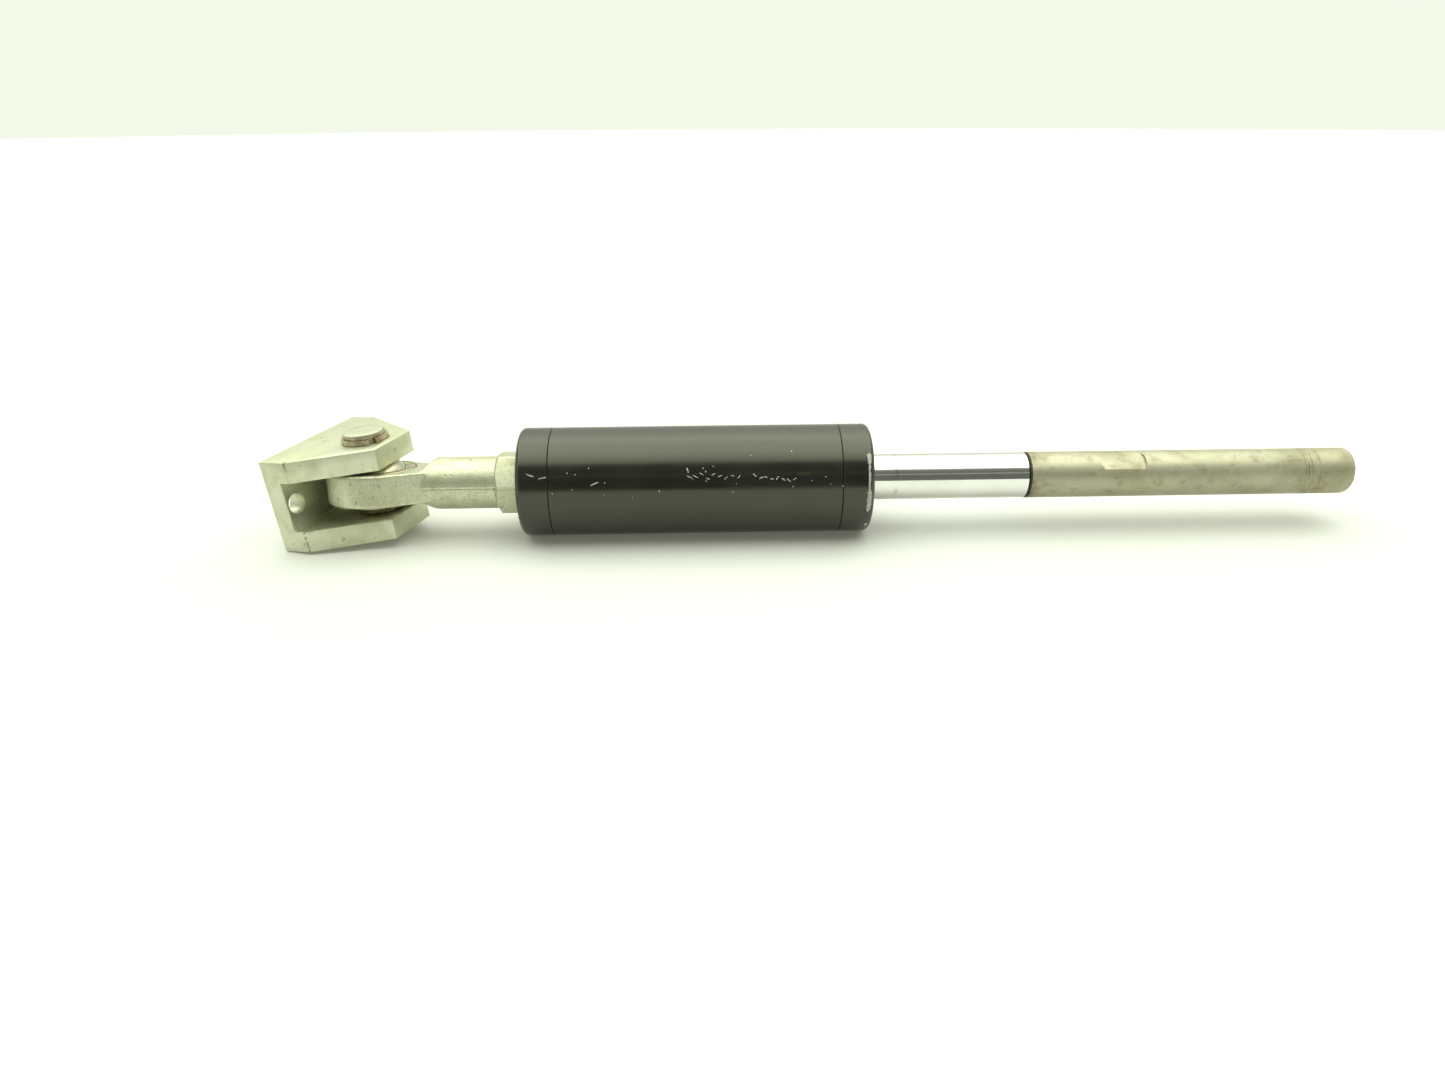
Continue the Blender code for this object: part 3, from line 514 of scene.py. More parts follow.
def zinc_plate():
    graph = Graph("zinc_plate_clouded", 0.4, 0.85)
    cloud = graph.noise(55.0, 4.0, 0.6, distortion=0.6)
    fine = graph.noise(420.0, 3.0, 0.6)
    lines = graph.noise(700.0, 2.0, 0.6, graph.scaled((0.05, 1.0, 1.0)))
    pits = graph.span(graph.noise(260.0, 2.0, 0.5), 0.66, 0.74)
    base = graph.blend(graph.span(cloud, 0.35, 0.68), (0.65, 0.67, 0.51), (0.55, 0.56, 0.39))
    base = graph.blend(graph.span(fine, 0.55, 0.8, 0.0, 0.35), base, (0.42, 0.43, 0.32))
    base = graph.blend(graph.math("MULTIPLY", pits, 0.5), base, (0.25, 0.24, 0.16))
    offset = graph.vector("SUBTRACT", graph.place, tuple(BALL_CENTRE))
    reach = graph.vector("DOT_PRODUCT", offset, tuple(TIP_DIRECTION))
    apart = graph.math("ABSOLUTE", graph.math("SUBTRACT", reach, SHOULDER))
    side = graph.vector("DOT_PRODUCT", offset, tuple(CROSS_DIRECTION))
    edge = graph.span(graph.math("ABSOLUTE", side), BRACKET_HALF_WIDTH - 0.0030,
                      BRACKET_HALF_WIDTH - 0.0013)
    nicks = graph.math("MULTIPLY", graph.span(apart, 0.0003, 0.0009, 0.8, 0.0),
                       graph.span(graph.noise(330.0, 3.0, 0.6), 0.42, 0.54))
    nicks = graph.math("MULTIPLY", nicks, edge)
    base = graph.blend(nicks, base, (0.20, 0.20, 0.13))
    graph.set("Base Color", base)
    gloss = graph.span(cloud, 0.3, 0.7, 0.36, 0.48)
    graph.set("Roughness", graph.math("ADD", gloss, graph.span(fine, 0.4, 0.8, 0.0, 0.08)))
    graph.bump(lines, 0.08, 0.00005, graph.bump(fine, 0.08, 0.0001))
    return graph.material


def forged_zinc():
    graph = Graph("forged_zinc_grainy", 0.45, 0.85)
    cloud = graph.noise(60.0, 4.0, 0.6, distortion=0.5)
    grain = graph.noise(650.0, 4.0, 0.65)
    pits = graph.span(graph.noise(330.0, 3.0, 0.55), 0.62, 0.72)
    base = graph.blend(graph.span(cloud, 0.35, 0.68), (0.64, 0.65, 0.49), (0.53, 0.53, 0.36))
    base = graph.blend(graph.span(grain, 0.45, 0.75, 0.0, 0.55), base, (0.38, 0.38, 0.26))
    base = graph.blend(graph.math("MULTIPLY", pits, 0.6), base, (0.19, 0.18, 0.12))
    offset = graph.vector("SUBTRACT", graph.place, tuple(BALL_CENTRE))
    height = graph.vector("DOT_PRODUCT", offset, tuple(EYE_NORMAL))
    height = graph.math("ADD", height, graph.span(cloud, 0.2, 0.8, -0.0003, 0.0003))
    neck = graph.span(graph.along(), BALL_CENTRE.x + NECK_START, BALL_CENTRE.x + NECK_END)
    lit = graph.span(graph.math("ABSOLUTE", height), 0.0002, 0.0005, 0.6, 0.0)
    under = graph.math("ABSOLUTE", graph.math("ADD", height, 0.0009))
    shade = graph.span(under, 0.0001, 0.0005, 0.4, 0.0)
    base = graph.blend(graph.math("MULTIPLY", shade, neck), base, (0.20, 0.20, 0.13))
    base = graph.blend(graph.math("MULTIPLY", lit, neck), base, (0.80, 0.82, 0.66))
    graph.set("Base Color", base)
    graph.set("Roughness", graph.span(grain, 0.3, 0.8, 0.38, 0.58))
    rough = graph.bump(grain, 0.35, 0.00025)
    rough = graph.bump(graph.math("MULTIPLY", pits, -1.0), 0.4, 0.0003, rough)
    seam = graph.span(graph.math("ABSOLUTE", height), 0.0002, 0.0007, 1.0, 0.0)
    graph.bump(graph.math("MULTIPLY", seam, neck), 0.3, 0.0003, rough)
    return graph.material


def brown_steel():
    """Pin and spring rings: browned on their sides, with a plated upper face."""
    graph = Graph("pin_steel_browned", 0.45, 0.9)
    cloud = graph.noise(160.0, 4.0, 0.6)
    fine = graph.noise(900.0, 3.0, 0.6)
    offset = graph.vector("SUBTRACT", graph.place, tuple(BALL_CENTRE))
    height = graph.vector("DOT_PRODUCT", offset, tuple(PIN_AXIS))
    ragged = graph.math("ADD", height, graph.span(cloud, 0.2, 0.8, -0.0003, 0.0003))
    top = graph.span(ragged, PIN_TOP - 0.0009, PIN_TOP - 0.0003)
    base = graph.blend(graph.span(cloud, 0.35, 0.68), (0.56, 0.50, 0.36), (0.36, 0.30, 0.20))
    base = graph.blend(graph.span(fine, 0.5, 0.8, 0.0, 0.5), base, (0.16, 0.13, 0.085))
    plated = graph.blend(graph.span(cloud, 0.35, 0.7), (0.60, 0.61, 0.47), (0.52, 0.51, 0.37))
    graph.set("Base Color", graph.blend(top, base, plated))
    graph.set("Roughness", graph.span(cloud, 0.3, 0.7, 0.38, 0.55))
    graph.bump(fine, 0.15, 0.0001)
    return graph.material


def bare_metal():
    """Metal showing where the coating has chipped off."""
    graph = Graph("bare_metal_chips", 0.5, 0.0)
    cloud = graph.noise(600.0, 3.0, 0.6)
    graph.set("Base Color", graph.blend(graph.span(cloud, 0.3, 0.7), (0.90, 0.90, 0.84),
                                        (0.70, 0.69, 0.62)))
    graph.set("Roughness", graph.span(cloud, 0.3, 0.7, 0.4, 0.6))
    graph.bump(cloud, 0.2, 0.00005)
    return graph.material


def metal(name, light, dark, gloss, scale=120.0):
    """A plain machined metal with faint clouds and fine grain."""
    graph = Graph(name, gloss, 1.0)
    cloud = graph.noise(scale, 4.0, 0.6)
    fine = graph.noise(scale * 9, 3.0, 0.6)
    graph.set("Base Color", graph.blend(graph.span(cloud, 0.35, 0.7), light, dark))
    graph.set("Roughness", graph.span(fine, 0.3, 0.7, gloss - 0.06, gloss + 0.10))
    graph.bump(fine, 0.08, 0.00005)
    return graph.material


def matt(name, light, dark, gloss):
    """Rubber or polymer with a fine grain."""
    graph = Graph(name, gloss, 0.0)
    cloud = graph.noise(300.0, 4.0, 0.6)
    graph.set("Base Color", graph.blend(graph.span(cloud, 0.35, 0.7), light, dark))
    graph.set("Roughness", graph.span(cloud, 0.3, 0.7, gloss - 0.08, gloss + 0.08))
    graph.bump(cloud, 0.15, 0.0001)
    return graph.material


FINISHES = {
    "black_coating": black_coating(),
    "hard_chrome": hard_chrome(),
    "dull_steel": stained_steel(),
    "zinc_plate": zinc_plate(),
    "forged_zinc": forged_zinc(),
    "brown_steel": brown_steel(),
    "machined_steel": metal("machined_steel_fine", (0.60, 0.57, 0.46), (0.42, 0.38, 0.27), 0.30),
    "bronze": metal("bronze_turned", (0.60, 0.54, 0.37), (0.42, 0.36, 0.22), 0.36),
    "aluminium": metal("aluminium_turned", (0.78, 0.78, 0.78), (0.68, 0.68, 0.69), 0.34),
    "bare_metal": bare_metal(),
    "seal_rubber": matt("seal_rubber_black", (0.030, 0.030, 0.030), (0.018, 0.018, 0.018), 0.6),
    "white_polymer": matt("white_polymer_satin", (0.80, 0.79, 0.74), (0.70, 0.69, 0.63), 0.5),
}


# ---------------------------------------------------------------- barrel

def build_barrel_tube():
    low, high = TUBE_LOW.x, TUBE_HIGH.x
    outline = soften([
        (low, BORE_RADIUS), (low, BARREL_RADIUS), (high, BARREL_RADIUS), (high, BORE_RADIUS),
    ], 0.00025)
    tube = lathe("barrel_tube_fine", outline, ALONG_X, steps=192)
    install(tube, "barrel", "black_coating", FINISHES["black_coating"], "barrel_tube")


def skin_radius(along):
    """Radius of the barrel's outside, its front cap's rounded edge included."""
    past = along - (FRONT_END_X - SEAM.x - CAP_FILLET)
    if past <= 0.0:
        return BARREL_RADIUS
    drop = CAP_FILLET - math.sqrt(max(CAP_FILLET ** 2 - past ** 2, 0.0))
    return BARREL_RADIUS - drop


def on_skin(along, turn, lift):
    """Place on the barrel's outside, from metres along and the angle above the front."""
    radius = skin_radius(along) + lift
    forward = Vector((0.0, -math.cos(turn), math.sin(turn)))
    return SEAM + Vector((along, 0.0, 0.0)) + forward * radius


def add_chip(shape, start, end, width, dice, ragged=0.45):
    """One ragged flake of bare metal between two places, as a thin closed plate."""
    first = Vector((start[0], math.radians(start[1]) * BARREL_RADIUS / MM))
    last = Vector((end[0], math.radians(end[1]) * BARREL_RADIUS / MM))
    run = last - first
    count = max(3, int(run.length / 0.28))
    across = Vector((-run.y, run.x)).normalized()
    lanes = 1 + int(width / 0.5)
    rows = []
    for i in range(count + 1):
        share = i / count
        taper = min(1.0, 0.25 + 5.0 * min(share, 1.0 - share))
        half = 0.5 * width * taper * (1.0 - ragged * dice.random())
        drift = width * 0.3 * (dice.random() - 0.5)
        row = []
        for j in range(lanes + 1):
            side = drift + half * (2.0 * j / lanes - 1.0)
            spot = first + run * share + across * side
            turn = spot.y * MM / BARREL_RADIUS
            row.append(shape.verts.new(on_skin(spot.x * MM, turn, CHIP_RISE)))
        rows.append(row)
    for one, two in zip(rows, rows[1:]):
        for j in range(lanes):
            shape.faces.new((one[j], two[j], two[j + 1], one[j + 1]))


def scratch_row(start, end, strokes_in_row, dice):
    """Short slanted strokes one after another between two places, with gaps."""
    pieces = []
    for i in range(strokes_in_row):
        low = (i + 0.15 * dice.random()) / strokes_in_row
        high = (i + 0.95 - 0.35 * dice.random()) / strokes_in_row
        ends = []
        for share in (low, high):
            along = start[0] + (end[0] - start[0]) * share
            angle = start[1] + (end[1] - start[1]) * share
            ends.append((along, angle + dice.uniform(-STRAY, STRAY)))
        pieces.append(ends)
    return pieces


def build_chips():
    dice = random.Random(11)
    shape = bmesh.new()
    for start, end, strokes_in_row, width in SCRATCH_ROWS:
        for first, last in scratch_row(start, end, strokes_in_row, dice):
            add_chip(shape, first, last, width * 1.5, dice, 0.7)
    for _ in range(SPECK_COUNT):
        along, width = dice.uniform(*SPECK_ALONG), dice.uniform(*SPECK_WIDTHS)
        angle = dice.triangular(*SPECK_ANGLES, 14)
        add_chip(shape, (along, angle), (along + 1.2 * width, angle), 1.3 * width, dice)
    rim = (FRONT_END_X - SEAM.x - CAP_FILLET) / MM + RIM_PAST
    for high, low, width in RIM_CHIPS:
        add_chip(shape, (rim, high), (rim, low), width * 1.6, dice, 0.5)
    bmesh.ops.solidify(shape, geom=shape.faces[:], thickness=-CHIP_THICKNESS)
    chips = finish_mesh("coating_chips", shape, 60.0)
    install(chips, "barrel", "machined_steel", FINISHES["bare_metal"])


def build_rear_cap():
    seam = TUBE_LOW.x - 0.0003
    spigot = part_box("rear_cap")[1].x
    stud = 0.0103
    floor = REAR_END_X + 0.0200
    rounding = arc((REAR_END_X + CAP_FILLET, BARREL_RADIUS - CAP_FILLET), CAP_FILLET, 0, -90, 12)
    outline = [
        (spigot, 0.0), (spigot, 0.0214), (spigot - 0.0008, 0.0222), (seam, 0.0222),
        (seam, BARREL_RADIUS - 0.0002), (seam - 0.0002, BARREL_RADIUS), *rounding,
        (REAR_END_X, stud + 0.0008), (REAR_END_X + 0.0008, stud), (floor, stud), (floor, 0.0),
    ]
    cap = lathe("rear_cap_fine", outline, ALONG_X, steps=192, closed=False)
    plug_low, plug_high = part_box("filling_plug")
    middle = (plug_low + plug_high) / 2
    port = bmesh.new()
    bmesh.ops.create_cone(port, cap_ends=True, segments=48, radius1=0.0032, radius2=0.0032,
                          depth=0.0180)
    port.transform(Matrix.Translation((REAR_END_X, middle.y, middle.z))
                   @ Matrix.Rotation(math.pi / 2, 4, "Y"))
    cut(cap, finish_mesh("filling_port_tool", port))
    reshade(cap)
    install(cap, "barrel", "black_coating", FINISHES["black_coating"], "rear_cap")


def build_front_cap():
    seam = TUBE_HIGH.x + 0.0003
    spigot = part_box("front_cap")[0].x
    rounding = arc((FRONT_END_X - CAP_FILLET, BARREL_RADIUS - CAP_FILLET), CAP_FILLET, 90, 0, 12)
    seat = 0.0169
    outline = [
        (FRONT_END_X - 0.0048, seat), (FRONT_END_X - 0.0004, seat), (FRONT_END_X, seat + 0.0004),
        *rounding, (seam + 0.0002, BARREL_RADIUS), (seam, BARREL_RADIUS - 0.0002),
        (seam, 0.0222), (spigot, 0.0222), (spigot, 0.0150), (FRONT_END_X - 0.0198, 0.0150),
        (FRONT_END_X - 0.0198, 0.0127), (FRONT_END_X - 0.0048, 0.0127),
    ]
    cap = lathe("front_cap_fine", outline, ALONG_X, steps=192)
    for side in (-1, 1):
        hole = bmesh.new()
        bmesh.ops.create_cone(hole, cap_ends=True, segments=48, radius1=0.0025, radius2=0.0025,
                              depth=0.0100)
        hole.transform(Matrix.Translation((FRONT_END_X, AXIS_Y + side * 0.0212, AXIS_Z))
                       @ Matrix.Rotation(math.pi / 2, 4, "Y"))
        cut(cap, finish_mesh("spanner_hole_tool", hole))
    reshade(cap)
    install(cap, "barrel", "black_coating", FINISHES["black_coating"], "front_cap")


def build_wiper():
    low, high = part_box("rod_wiper")
    inner = ROD_RADIUS + 0.0003
    outline = soften([
        (low.x, inner), (low.x, 0.0166), (high.x - 0.0014, 0.0166), (high.x - 0.0014, 0.0143),
        (high.x, inner + 0.0007), (high.x, inner + 0.0002), (high.x - 0.0016, inner),
    ], 0.0003)
    wiper = lathe("rod_wiper_fine", outline, ALONG_X, steps=128)
    install(wiper, "barrel", "seal_rubber", FINISHES["seal_rubber"], "rod_wiper")


# ---------------------------------------------------------------- rod and extension

def build_rod():
    low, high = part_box("piston_rod")
    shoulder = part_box("piston")[1].x + 0.0003
    end = JOINT_X - 0.0003
    tenon = 0.0085
    stud = 0.0080
    outline = [
        (low.x, 0.0), (low.x, tenon - 0.0008), (low.x + 0.0008, tenon), (shoulder, tenon),
        (shoulder, ROD_RADIUS - 0.0004), (shoulder + 0.0004, ROD_RADIUS),
        (end - 0.0005, ROD_RADIUS), (end, ROD_RADIUS - 0.0005), (end, stud),
        (high.x - 0.0008, stud), (high.x, stud - 0.0008), (high.x, 0.0),
    ]
    rod = lathe("piston_rod_fine", outline, ALONG_X, steps=160, closed=False)
    install(rod, "rod", "hard_chrome", FINISHES["hard_chrome"], "piston_rod")


def scratch_ring(along, depth, width):
    """Outline points of a fine groove round the extension."""
    return [
        (along - width, EXTENSION_RADIUS),
        (along, EXTENSION_RADIUS - depth),
        (along + width, EXTENSION_RADIUS),
    ]


def build_extension():
    low, high = JOINT_X, EXTENSION_END_X
    rounding = 0.0024
    socket = 0.0062
    bore_end = low + 0.0195
    grooves = []
    for back, depth, width in ((0.0262, 0.00012, 0.00030), (0.0238, 0.00008, 0.00020),
                               (0.0193, 0.00010, 0.00025)):
        grooves += scratch_ring(high - back, depth, width)
    outline = [
        (bore_end, 0.0), (bore_end, 0.0083), (low, 0.0083), (low, EXTENSION_RADIUS - 0.0005),
        (low + 0.0005, EXTENSION_RADIUS), *grooves,
        *arc((high - rounding, EXTENSION_RADIUS - rounding), rounding, 0, 90, 10),
        (high, socket + 0.0008), (high - 0.0008, socket), (high - 0.0250, socket),
        (high - 0.0250, 0.0),
    ]
    extension = lathe("rod_extension_fine", outline, ALONG_X, steps=160, closed=False)
    for side in (0, 1):
        cut(extension, wrench_flat_tool(side))
    reshade(extension)
    install(extension, "rod", "dull_steel", FINISHES["dull_steel"], "rod_extension")


def wrench_flat_tool(side):
    """Block that mills one wrench flat, with rounded corners seen square to the flat."""
    length, width, depth = 0.0240, 0.0130, 0.0040
    distance = 0.0110
    turn = math.radians(57.0) + side * math.pi
    block = bmesh.new()
    bmesh.ops.create_cube(block, size=1.0)
    bmesh.ops.scale(block, vec=(length, width, depth), verts=block.verts)
    upright = [
        edge for edge in block.edges
        if abs((edge.verts[0].co - edge.verts[1].co).normalized().z) > 0.9
    ]
    bmesh.ops.bevel(block, geom=upright, offset=0.0050, segments=10, affect="EDGES", profile=0.5)
    reach = distance + depth / 2
    middle = Vector((SEAM.x + 0.29985, AXIS_Y - reach * math.cos(turn),
                     AXIS_Z + reach * math.sin(turn)))
    block.transform(Matrix.Translation(middle) @ Matrix.Rotation(math.pi / 2 - turn, 4, "X"))
    return finish_mesh("wrench_flat_tool", block)


# ---------------------------------------------------------------- rod end

EYE_RADIUS = 0.0246
EYE_HALF = 0.0086
SHANK_RADIUS = 0.01375
RAMP_START = 0.0261
RAMP_END = 0.0340
COLLAR_LENGTH = 0.0127
RACE_RADIUS = 0.0205


def prism_tool(outline, half, place):
    return extruded("prism_tool", outline, half, place)


def build_forging():
    """Eye and shank as one forging, with the blends that forging leaves."""
    housing_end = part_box("rod_end_housing")[1].x
    collar_start = housing_end - COLLAR_LENGTH
    shank = lathe("shank_blank", [
        (collar_start + 0.0040, 0.0), (collar_start + 0.0040, SHANK_RADIUS),
        (BALL_CENTRE.x + 0.0050, SHANK_RADIUS), (BALL_CENTRE.x + 0.0050, 0.0),
    ], ALONG_X, steps=96, closed=False)
    side_view = EYE @ Matrix.Rotation(math.pi / 2, 4, "X")
    for side in (-1, 1):
        wedge = [
            (-0.0300, side * EYE_HALF), (RAMP_START, side * EYE_HALF),
            (RAMP_END, side * 0.0148), (-0.0300, side * 0.0148),
        ]
        cut(shank, prism_tool(wedge, 0.0300, side_view))
    neck = extruded("neck_blank", [
        (0.0120, -0.0215), (0.0290, -0.0125), (0.0290, 0.0125), (0.0120, 0.0215),
    ], EYE_HALF - 0.0004, EYE)
    eye = lathe("rod_end_forging", [
        (-EYE_HALF, 0.0), (-EYE_HALF, EYE_RADIUS - 0.0010), (0.0010 - EYE_HALF, EYE_RADIUS),
        (EYE_HALF - 0.0010, EYE_RADIUS), (EYE_HALF, EYE_RADIUS - 0.0010), (EYE_HALF, 0.0),
    ], EYE, steps=96, closed=False)
    cut(eye, shank, "UNION")
    cut(eye, neck, "UNION")
    remesh = eye.modifiers.new("forge", "REMESH")
    remesh.mode = "VOXEL"
    remesh.voxel_size = 0.00055
    soften_skin = eye.modifiers.new("soften", "SMOOTH")
    soften_skin.factor = 0.6
    soften_skin.iterations = 10
    apply_modifiers(eye)
    bore_race_seat(eye)
    bore_thread(eye, housing_end)
    reshade(eye, 40.0)
    return eye


def bore_race_seat(eye):
    """Bore for the race, with a small lead-in on both faces."""
    wall = RACE_RADIUS + 0.0003
    tool = lathe("race_bore_tool", [
        (-0.0150, 0.0), (-0.0150, wall + 0.0008), (-EYE_HALF, wall + 0.0006),
        (0.0006 - EYE_HALF, wall), (EYE_HALF - 0.0006, wall), (EYE_HALF, wall + 0.0006),
        (0.0150, wall + 0.0008), (0.0150, 0.0),
    ], EYE, steps=128, closed=False)
    cut(eye, tool)


def bore_thread(eye, housing_end):
    bore = 0.0103
    tool = lathe("thread_bore_tool", [
        (housing_end - 0.0276, 0.0), (housing_end - 0.0276, bore), (housing_end, bore),
        (housing_end, 0.0),
    ], ALONG_X, steps=48, closed=False)
    cut(eye, tool)


def build_collar():
    """Hexagon collar with turned corners and a chamfered shoulder."""
    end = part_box("rod_end_housing")[1].x
    start = end - COLLAR_LENGTH
    flats = 0.0300
    outline = []
    for i in range(6):
        angle = math.radians(60.0 * i)
        corner = flats / math.sqrt(3)
        outline.append((corner * math.sin(angle), -corner * math.cos(angle)))
    place = (Matrix.Translation(((start + end) / 2, AXIS_Y, AXIS_Z))
             @ Matrix.Rotation(EYE_ROLL, 4, "X") @ Matrix.Rotation(math.pi / 2, 4, "Y"))
    collar = extruded("rod_end_collar", outline, COLLAR_LENGTH / 2, place)
    envelope = lathe("collar_tool", [
        (end + 0.001, 0.0), (end + 0.001, 0.0166), (end - 0.0004, 0.0170),
        (start + 0.0022, 0.0170), (start + 0.0006, 0.0146), (start, 0.0138), (start, 0.0),
    ], ALONG_X, steps=128, closed=False)
    cut(collar, envelope, "INTERSECT")
    bore = lathe("collar_bore_tool", [
        (start - 0.001, 0.0), (start - 0.001, 0.0103), (end + 0.001, 0.0103), (end + 0.001, 0.0),
    ], ALONG_X, steps=48, closed=False)
    cut(collar, bore)
    round_edges(collar, 0.0004, 3, 20.0)
    return collar


def build_rod_end():
    forging = build_forging()
    install(forging, "barrel", "forged_zinc", FINISHES["forged_zinc"], "rod_end_housing")
    collar = build_collar()
    install(collar, "barrel", "forged_zinc", FINISHES["forged_zinc"], "rod_end_housing")


# ---------------------------------------------------------------- bearing

def ball_arc(radius, half, sign, count=24):
    limit = math.degrees(math.asin(half / radius))
    return arc((0.0, 0.0), radius, -sign * limit, sign * limit, count)


def build_bearing():
    race = lathe("bearing_race_fine", [
        *ball_arc(0.0186, EYE_HALF, -1), *soften([
            (-EYE_HALF, RACE_RADIUS - 0.0006), (-EYE_HALF + 0.0006, RACE_RADIUS),
            (EYE_HALF - 0.0006, RACE_RADIUS), (EYE_HALF, RACE_RADIUS - 0.0006),
        ], 0.0002, closed=False),
    ], EYE, steps=128)
    install(race, "barrel", "bronze", FINISHES["bronze"], "bearing_race")
    liner = lathe("bearing_liner_fine", [
        *ball_arc(0.0183, 0.0080, 1, 18), *ball_arc(0.0177, 0.0080, -1, 18),
    ], BEARING, steps=128)
    install(liner, "liner", "white_polymer", FINISHES["white_polymer"], "bearing_liner")
    half = 0.0125
    ball = lathe("bearing_ball_fine", [
        *ball_arc(0.0174, half, 1, 30), (half, 0.0109), (half - 0.0006, 0.0103),
        (0.0006 - half, 0.0103), (-half, 0.0109),
    ], PIN_PLACE, steps=128)
    install(ball, "ball", "machined_steel", FINISHES["machined_steel"], "bearing_ball")


# ---------------------------------------------------------------- pin and its rings

EAR_FACE = 0.0245


def build_pin():
    top, bottom = PIN_TOP, -0.0269
    head, shaft = 0.0104, 0.0100
    under = 0.0276
    outline = [
        (bottom, 0.0), (bottom, shaft - 0.0011), (bottom + 0.0007, shaft), (under, shaft),
        (under, head), (top - 0.0007, head), (top - 0.0002, head - 0.0003),
        (top, head - 0.0009), (top - 0.00015, 0.0030), (top - 0.0004, 0.0),
    ]
    pin = lathe("clevis_pin_fine", outline, PIN_PLACE, steps=128, closed=False)
    install(pin, "pin", "brown_steel", FINISHES["brown_steel"], "clevis_pin")


def circlip(name, base, thickness, node, facing):
    """Spring ring with a gap between two drilled lugs; facing is the gap's angle in degrees."""
    inner, outer = 0.0103, 0.0117
    gap = 9.0
    lug = 13.0
    shape = bmesh.new()
    steps = 120
    rows = []
    for i in range(steps + 1):
        turn = gap + (360.0 - 2 * gap) * i / steps
        angle = math.radians(facing + turn)
        near = min(turn - gap, 360.0 - gap - turn)
        swell = 0.0013 * max(0.0, min(1.0, (lug - near) / 4.0 + 0.5))
        rim = outer - 0.0004 * (near < 60) * (1 - near / 60) + swell
        row = []
        for radius, height in ((inner, 0.0), (rim, 0.0), (rim, thickness), (inner, thickness)):
            spot = Vector((radius * math.cos(angle), radius * math.sin(angle), base + height))
            row.append(shape.verts.new(BRACKET @ spot))
        rows.append(row)
    for one, two in zip(rows, rows[1:]):
        for j in range(4):
            k = (j + 1) % 4
            shape.faces.new((one[j], one[k], two[k], two[j]))
    shape.faces.new(rows[0])
    shape.faces.new(list(reversed(rows[-1])))
    ring = finish_mesh(name, shape)
    for side in (-1, 1):
        drill = bmesh.new()
        bmesh.ops.create_cone(drill, cap_ends=True, segments=24, radius1=0.0006, radius2=0.0006,
                              depth=0.0100)
        angle = math.radians(facing + side * (gap + 6.0))
        spot = Vector((0.0117 * math.cos(angle), 0.0117 * math.sin(angle), base))
        drill.transform(BRACKET @ Matrix.Translation(spot))
        cut(ring, finish_mesh("lug_drill", drill))
    round_edges(ring, 0.00018, 2, 50.0)
    install(ring, "pin", "brown_steel", FINISHES["brown_steel"], node)


def build_pin_rings():
    upper = EAR_FACE + 0.0003
    circlip("upper_pin_ring_fine", upper, 0.0022, "upper_pin_ring", -35.0)
    circlip("lower_pin_ring_fine", -upper - 0.0014, 0.0014, "lower_pin_ring", 140.0)


# ---------------------------------------------------------------- bracket

def build_bracket():
    """One-piece clevis bracket with milled slot, drilled holes and broken edges."""
    back, floor, tip = -0.0370, -0.0275, 0.0165
    wide, narrow = BRACKET_HALF_WIDTH, 0.01515
    slot = 0.0133
    bracket = extruded("clevis_bracket_fine", [
        (back, -wide), (SHOULDER, -wide), (tip, -narrow),
        (tip, narrow), (SHOULDER, wide), (back, wide),
    ], EAR_FACE, BRACKET)
    tool = extruded("slot_tool", [
        (floor, -0.0450), (tip + 0.0050, -0.0450), (tip + 0.0050, 0.0450), (floor, 0.0450),
    ], slot, BRACKET)
    round_edges(tool, 0.0008, 4, 60.0)
    cut(bracket, tool)
    cut(bracket, drill(0.0103, EAR_FACE, BRACKET))
    for side in (-1, 1):
        middle = BRACKET @ Matrix.Translation(((back + floor) / 2, side * 0.0295, 0.0))
        cut(bracket, drill(0.00525, (floor - back) / 2,
                           middle @ Matrix.Rotation(math.pi / 2, 4, "Y")))
    round_edges(bracket, 0.00045, 3, 50.0)
    reshade(bracket, 38.0)
    install(bracket, "clevis", "zinc_plate", FINISHES["zinc_plate"], "clevis_bracket")


def drill(radius, half, place):
    """Tool for a through hole."""
    far = half + 0.0030
    return lathe("drill_tool", [
        (-far, 0.0), (-far, radius), (far, radius), (far, 0.0),
    ], place, steps=96, closed=False)


# ---------------------------------------------------------------- carried-over CAD nodes

def dress_cad_nodes():
    """Give the pieces kept from the frame their finish; most of them are inside the barrel."""
    slots = {part["node"]: part["material_slot"] for part in frame["record"]["subparts"]}
    for name, item in frame["nodes"].items():
        item.data.materials.clear()
        item.data.materials.append(FINISHES[slots[name]])


# ---------------------------------------------------------------- studio

def build_floor():
    shape = bmesh.new()
    bmesh.ops.create_circle(shape, cap_ends=True, segments=96, radius=9.0)
    floor = finish_mesh("studio_floor", shape)
    graph = Graph("floor_paper", 0.75, 0.0)
    tone = graph.noise(3.0, 2.0, 0.5)
    graph.set("Base Color", graph.blend(graph.span(tone, 0.3, 0.7), (0.60, 0.605, 0.595),
                                        (0.62, 0.625, 0.615)))
    graph.set("Specular IOR Level", 0.25)
    # Light coming through the paper keeps its shadows thin and warm.
    graph.set("Emission Color", (1.0, 1.0, 0.78, 1.0))
    graph.set("Emission Strength", 0.10)
    floor.data.materials.append(graph.material)


# Light by degrees from the front horizon, over the top, to the back horizon.
SKY = [
    (0.0, 0.16), (27.0, 0.16), (31.0, 0.42), (35.0, 0.16), (50.0, 0.22), (55.0, 0.50),
    (58.0, 1.50), (66.0, 2.20), (76.0, 2.85), (86.0, 3.1), (118.0, 3.1), (130.0, 2.2),
    (145.0, 1.35), (160.0, 0.9), (180.0, 0.7),
]
BRIGHTEST = 3.1
END_LIGHT = 0.8
# The share of sideways lean at which the light from the two ends takes over.
END_SPREAD = (0.9, 1.3)
# The backdrop's own brightness, as seen behind the object.
BACKDROP = 0.95


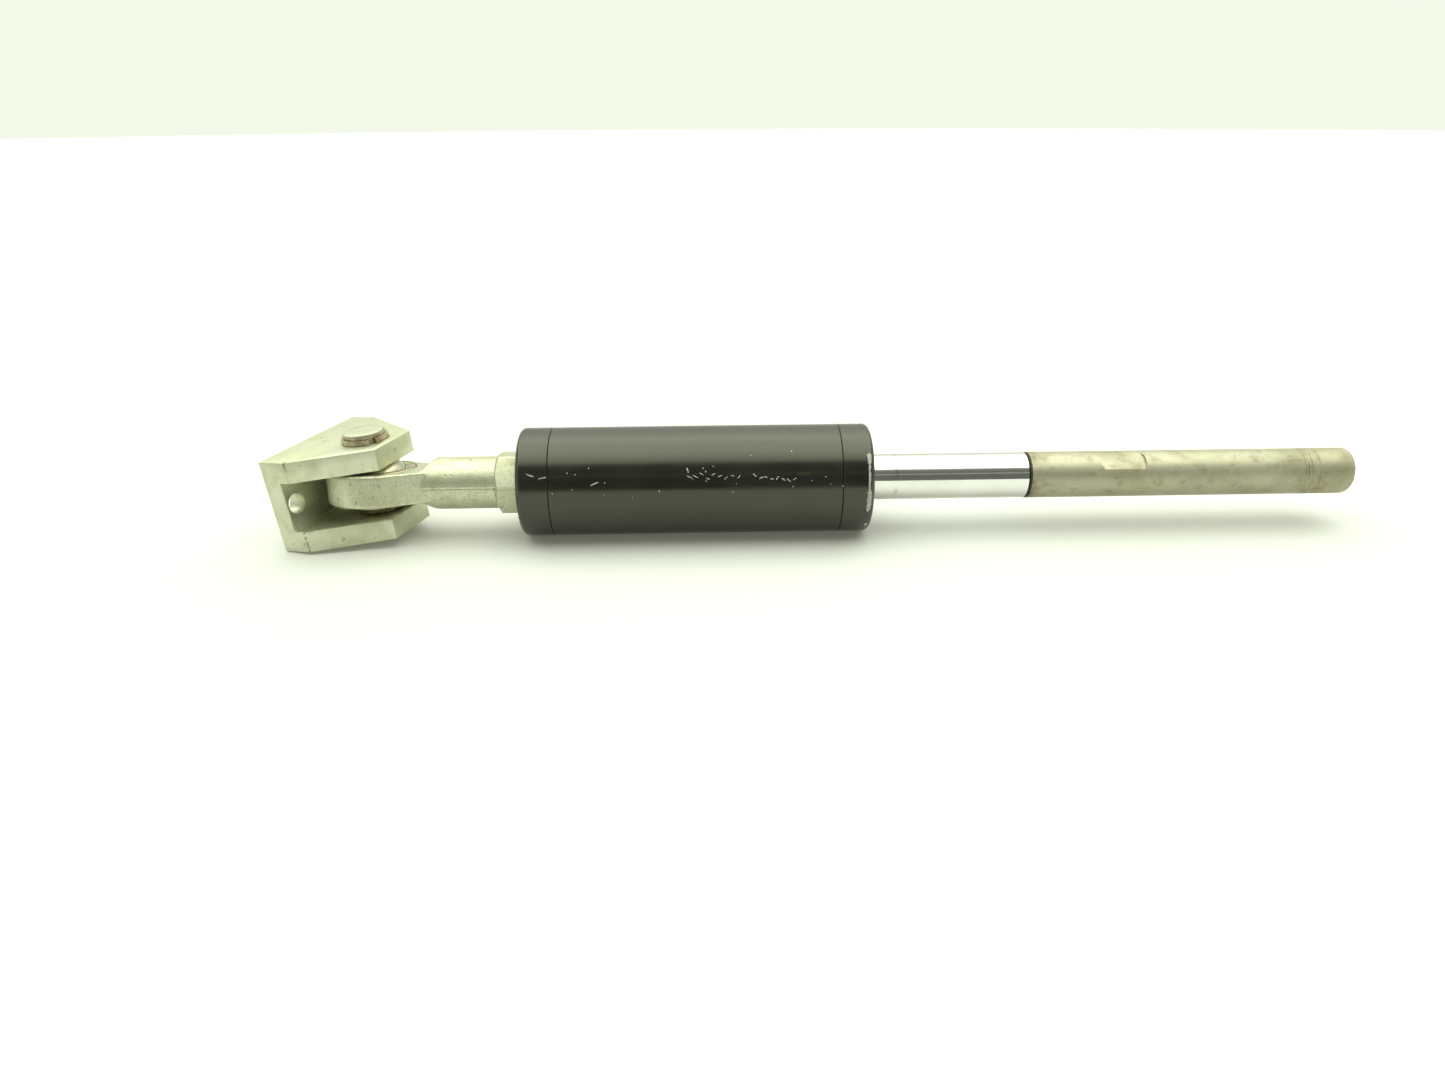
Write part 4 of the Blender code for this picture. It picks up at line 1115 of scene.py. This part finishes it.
def build_sky():
    """Soft light all round, a bright panel overhead and a darker side in front."""
    world = bpy.data.worlds.new("studio")
    bpy.context.scene.world = world
    world.use_nodes = True
    tree = world.node_tree
    tree.nodes.clear()
    nodes, links = tree.nodes, tree.links

    def calc(operation, *values, clamp=False):
        made = nodes.new("ShaderNodeMath")
        made.operation = operation
        made.use_clamp = clamp
        for socket, value in zip(made.inputs, values):
            if isinstance(value, bpy.types.NodeSocket):
                links.new(value, socket)
            else:
                socket.default_value = value
        return made.outputs[0]

    def ease(value, low, high):
        made = nodes.new("ShaderNodeMapRange")
        made.interpolation_type = "SMOOTHSTEP"
        links.new(value, made.inputs["Value"])
        made.inputs["From Min"].default_value = low
        made.inputs["From Max"].default_value = high
        return made.outputs["Result"]

    parts = nodes.new("ShaderNodeSeparateXYZ")
    links.new(nodes.new("ShaderNodeTexCoord").outputs["Generated"], parts.inputs[0])
    across, deep, up = parts.outputs
    angle = calc("ARCTAN2", calc("MAXIMUM", up, 0.0), calc("MULTIPLY", deep, -1.0))
    ramp = nodes.new("ShaderNodeValToRGB")
    links.new(calc("DIVIDE", angle, math.pi), ramp.inputs[0])
    stops = ramp.color_ramp.elements
    while len(stops) < len(SKY):
        stops.new(0.5)
    for stop, (degrees, strength) in zip(stops, SKY):
        stop.position = degrees / 180.0
        stop.color = (*[strength / BRIGHTEST] * 3, 1.0)
    reach = calc("SQRT", calc("ADD", calc("MULTIPLY", up, up), calc("MULTIPLY", deep, deep)))
    spread = calc("DIVIDE", calc("ABSOLUTE", across), calc("MAXIMUM", reach, 0.001))
    ends = ease(spread, *END_SPREAD)
    arch = calc("MULTIPLY", ramp.outputs["Color"], BRIGHTEST)
    keep = calc("SUBTRACT", 1.0, ends)
    strength = calc("ADD", calc("MULTIPLY", arch, keep), calc("MULTIPLY", ends, END_LIGHT))
    seen = nodes.new("ShaderNodeLightPath").outputs["Is Camera Ray"]
    unseen = calc("SUBTRACT", 1.0, seen)
    strength = calc("ADD", calc("MULTIPLY", strength, unseen), calc("MULTIPLY", seen, BACKDROP))
    light = nodes.new("ShaderNodeBackground")
    light.inputs["Color"].default_value = (0.95, 1.0, 0.86, 1.0)
    links.new(strength, light.inputs["Strength"])
    links.new(light.outputs[0], nodes.new("ShaderNodeOutputWorld").inputs["Surface"])


def build_camera():
    """Stand at the viewing place, just left of the barrel's middle and a little above it."""
    data = bpy.data.cameras.new("view")
    data.lens = 23.83
    data.sensor_width = 36.0
    data.clip_start = 0.01
    camera = bpy.data.objects.new("view", data)
    place = Matrix.Translation(SEAM + Vector((0.07719, -0.47730, 0.18175)))
    turn = (Matrix.Rotation(math.radians(-1.34), 4, "Z")
            @ Matrix.Rotation(math.radians(90.0 - 24.61), 4, "X")
            @ Matrix.Rotation(math.radians(-0.33), 4, "Z"))
    camera.matrix_world = place @ turn
    bpy.context.scene.collection.objects.link(camera)
    bpy.context.scene.camera = camera


bpy.context.scene.view_settings.view_transform = "Standard"
dress_cad_nodes()
build_barrel_tube()
build_rear_cap()
build_front_cap()
build_chips()
build_wiper()
build_rod()
build_extension()
build_rod_end()
build_bearing()
build_pin()
build_pin_rings()
build_bracket()
build_floor()
build_sky()
build_camera()
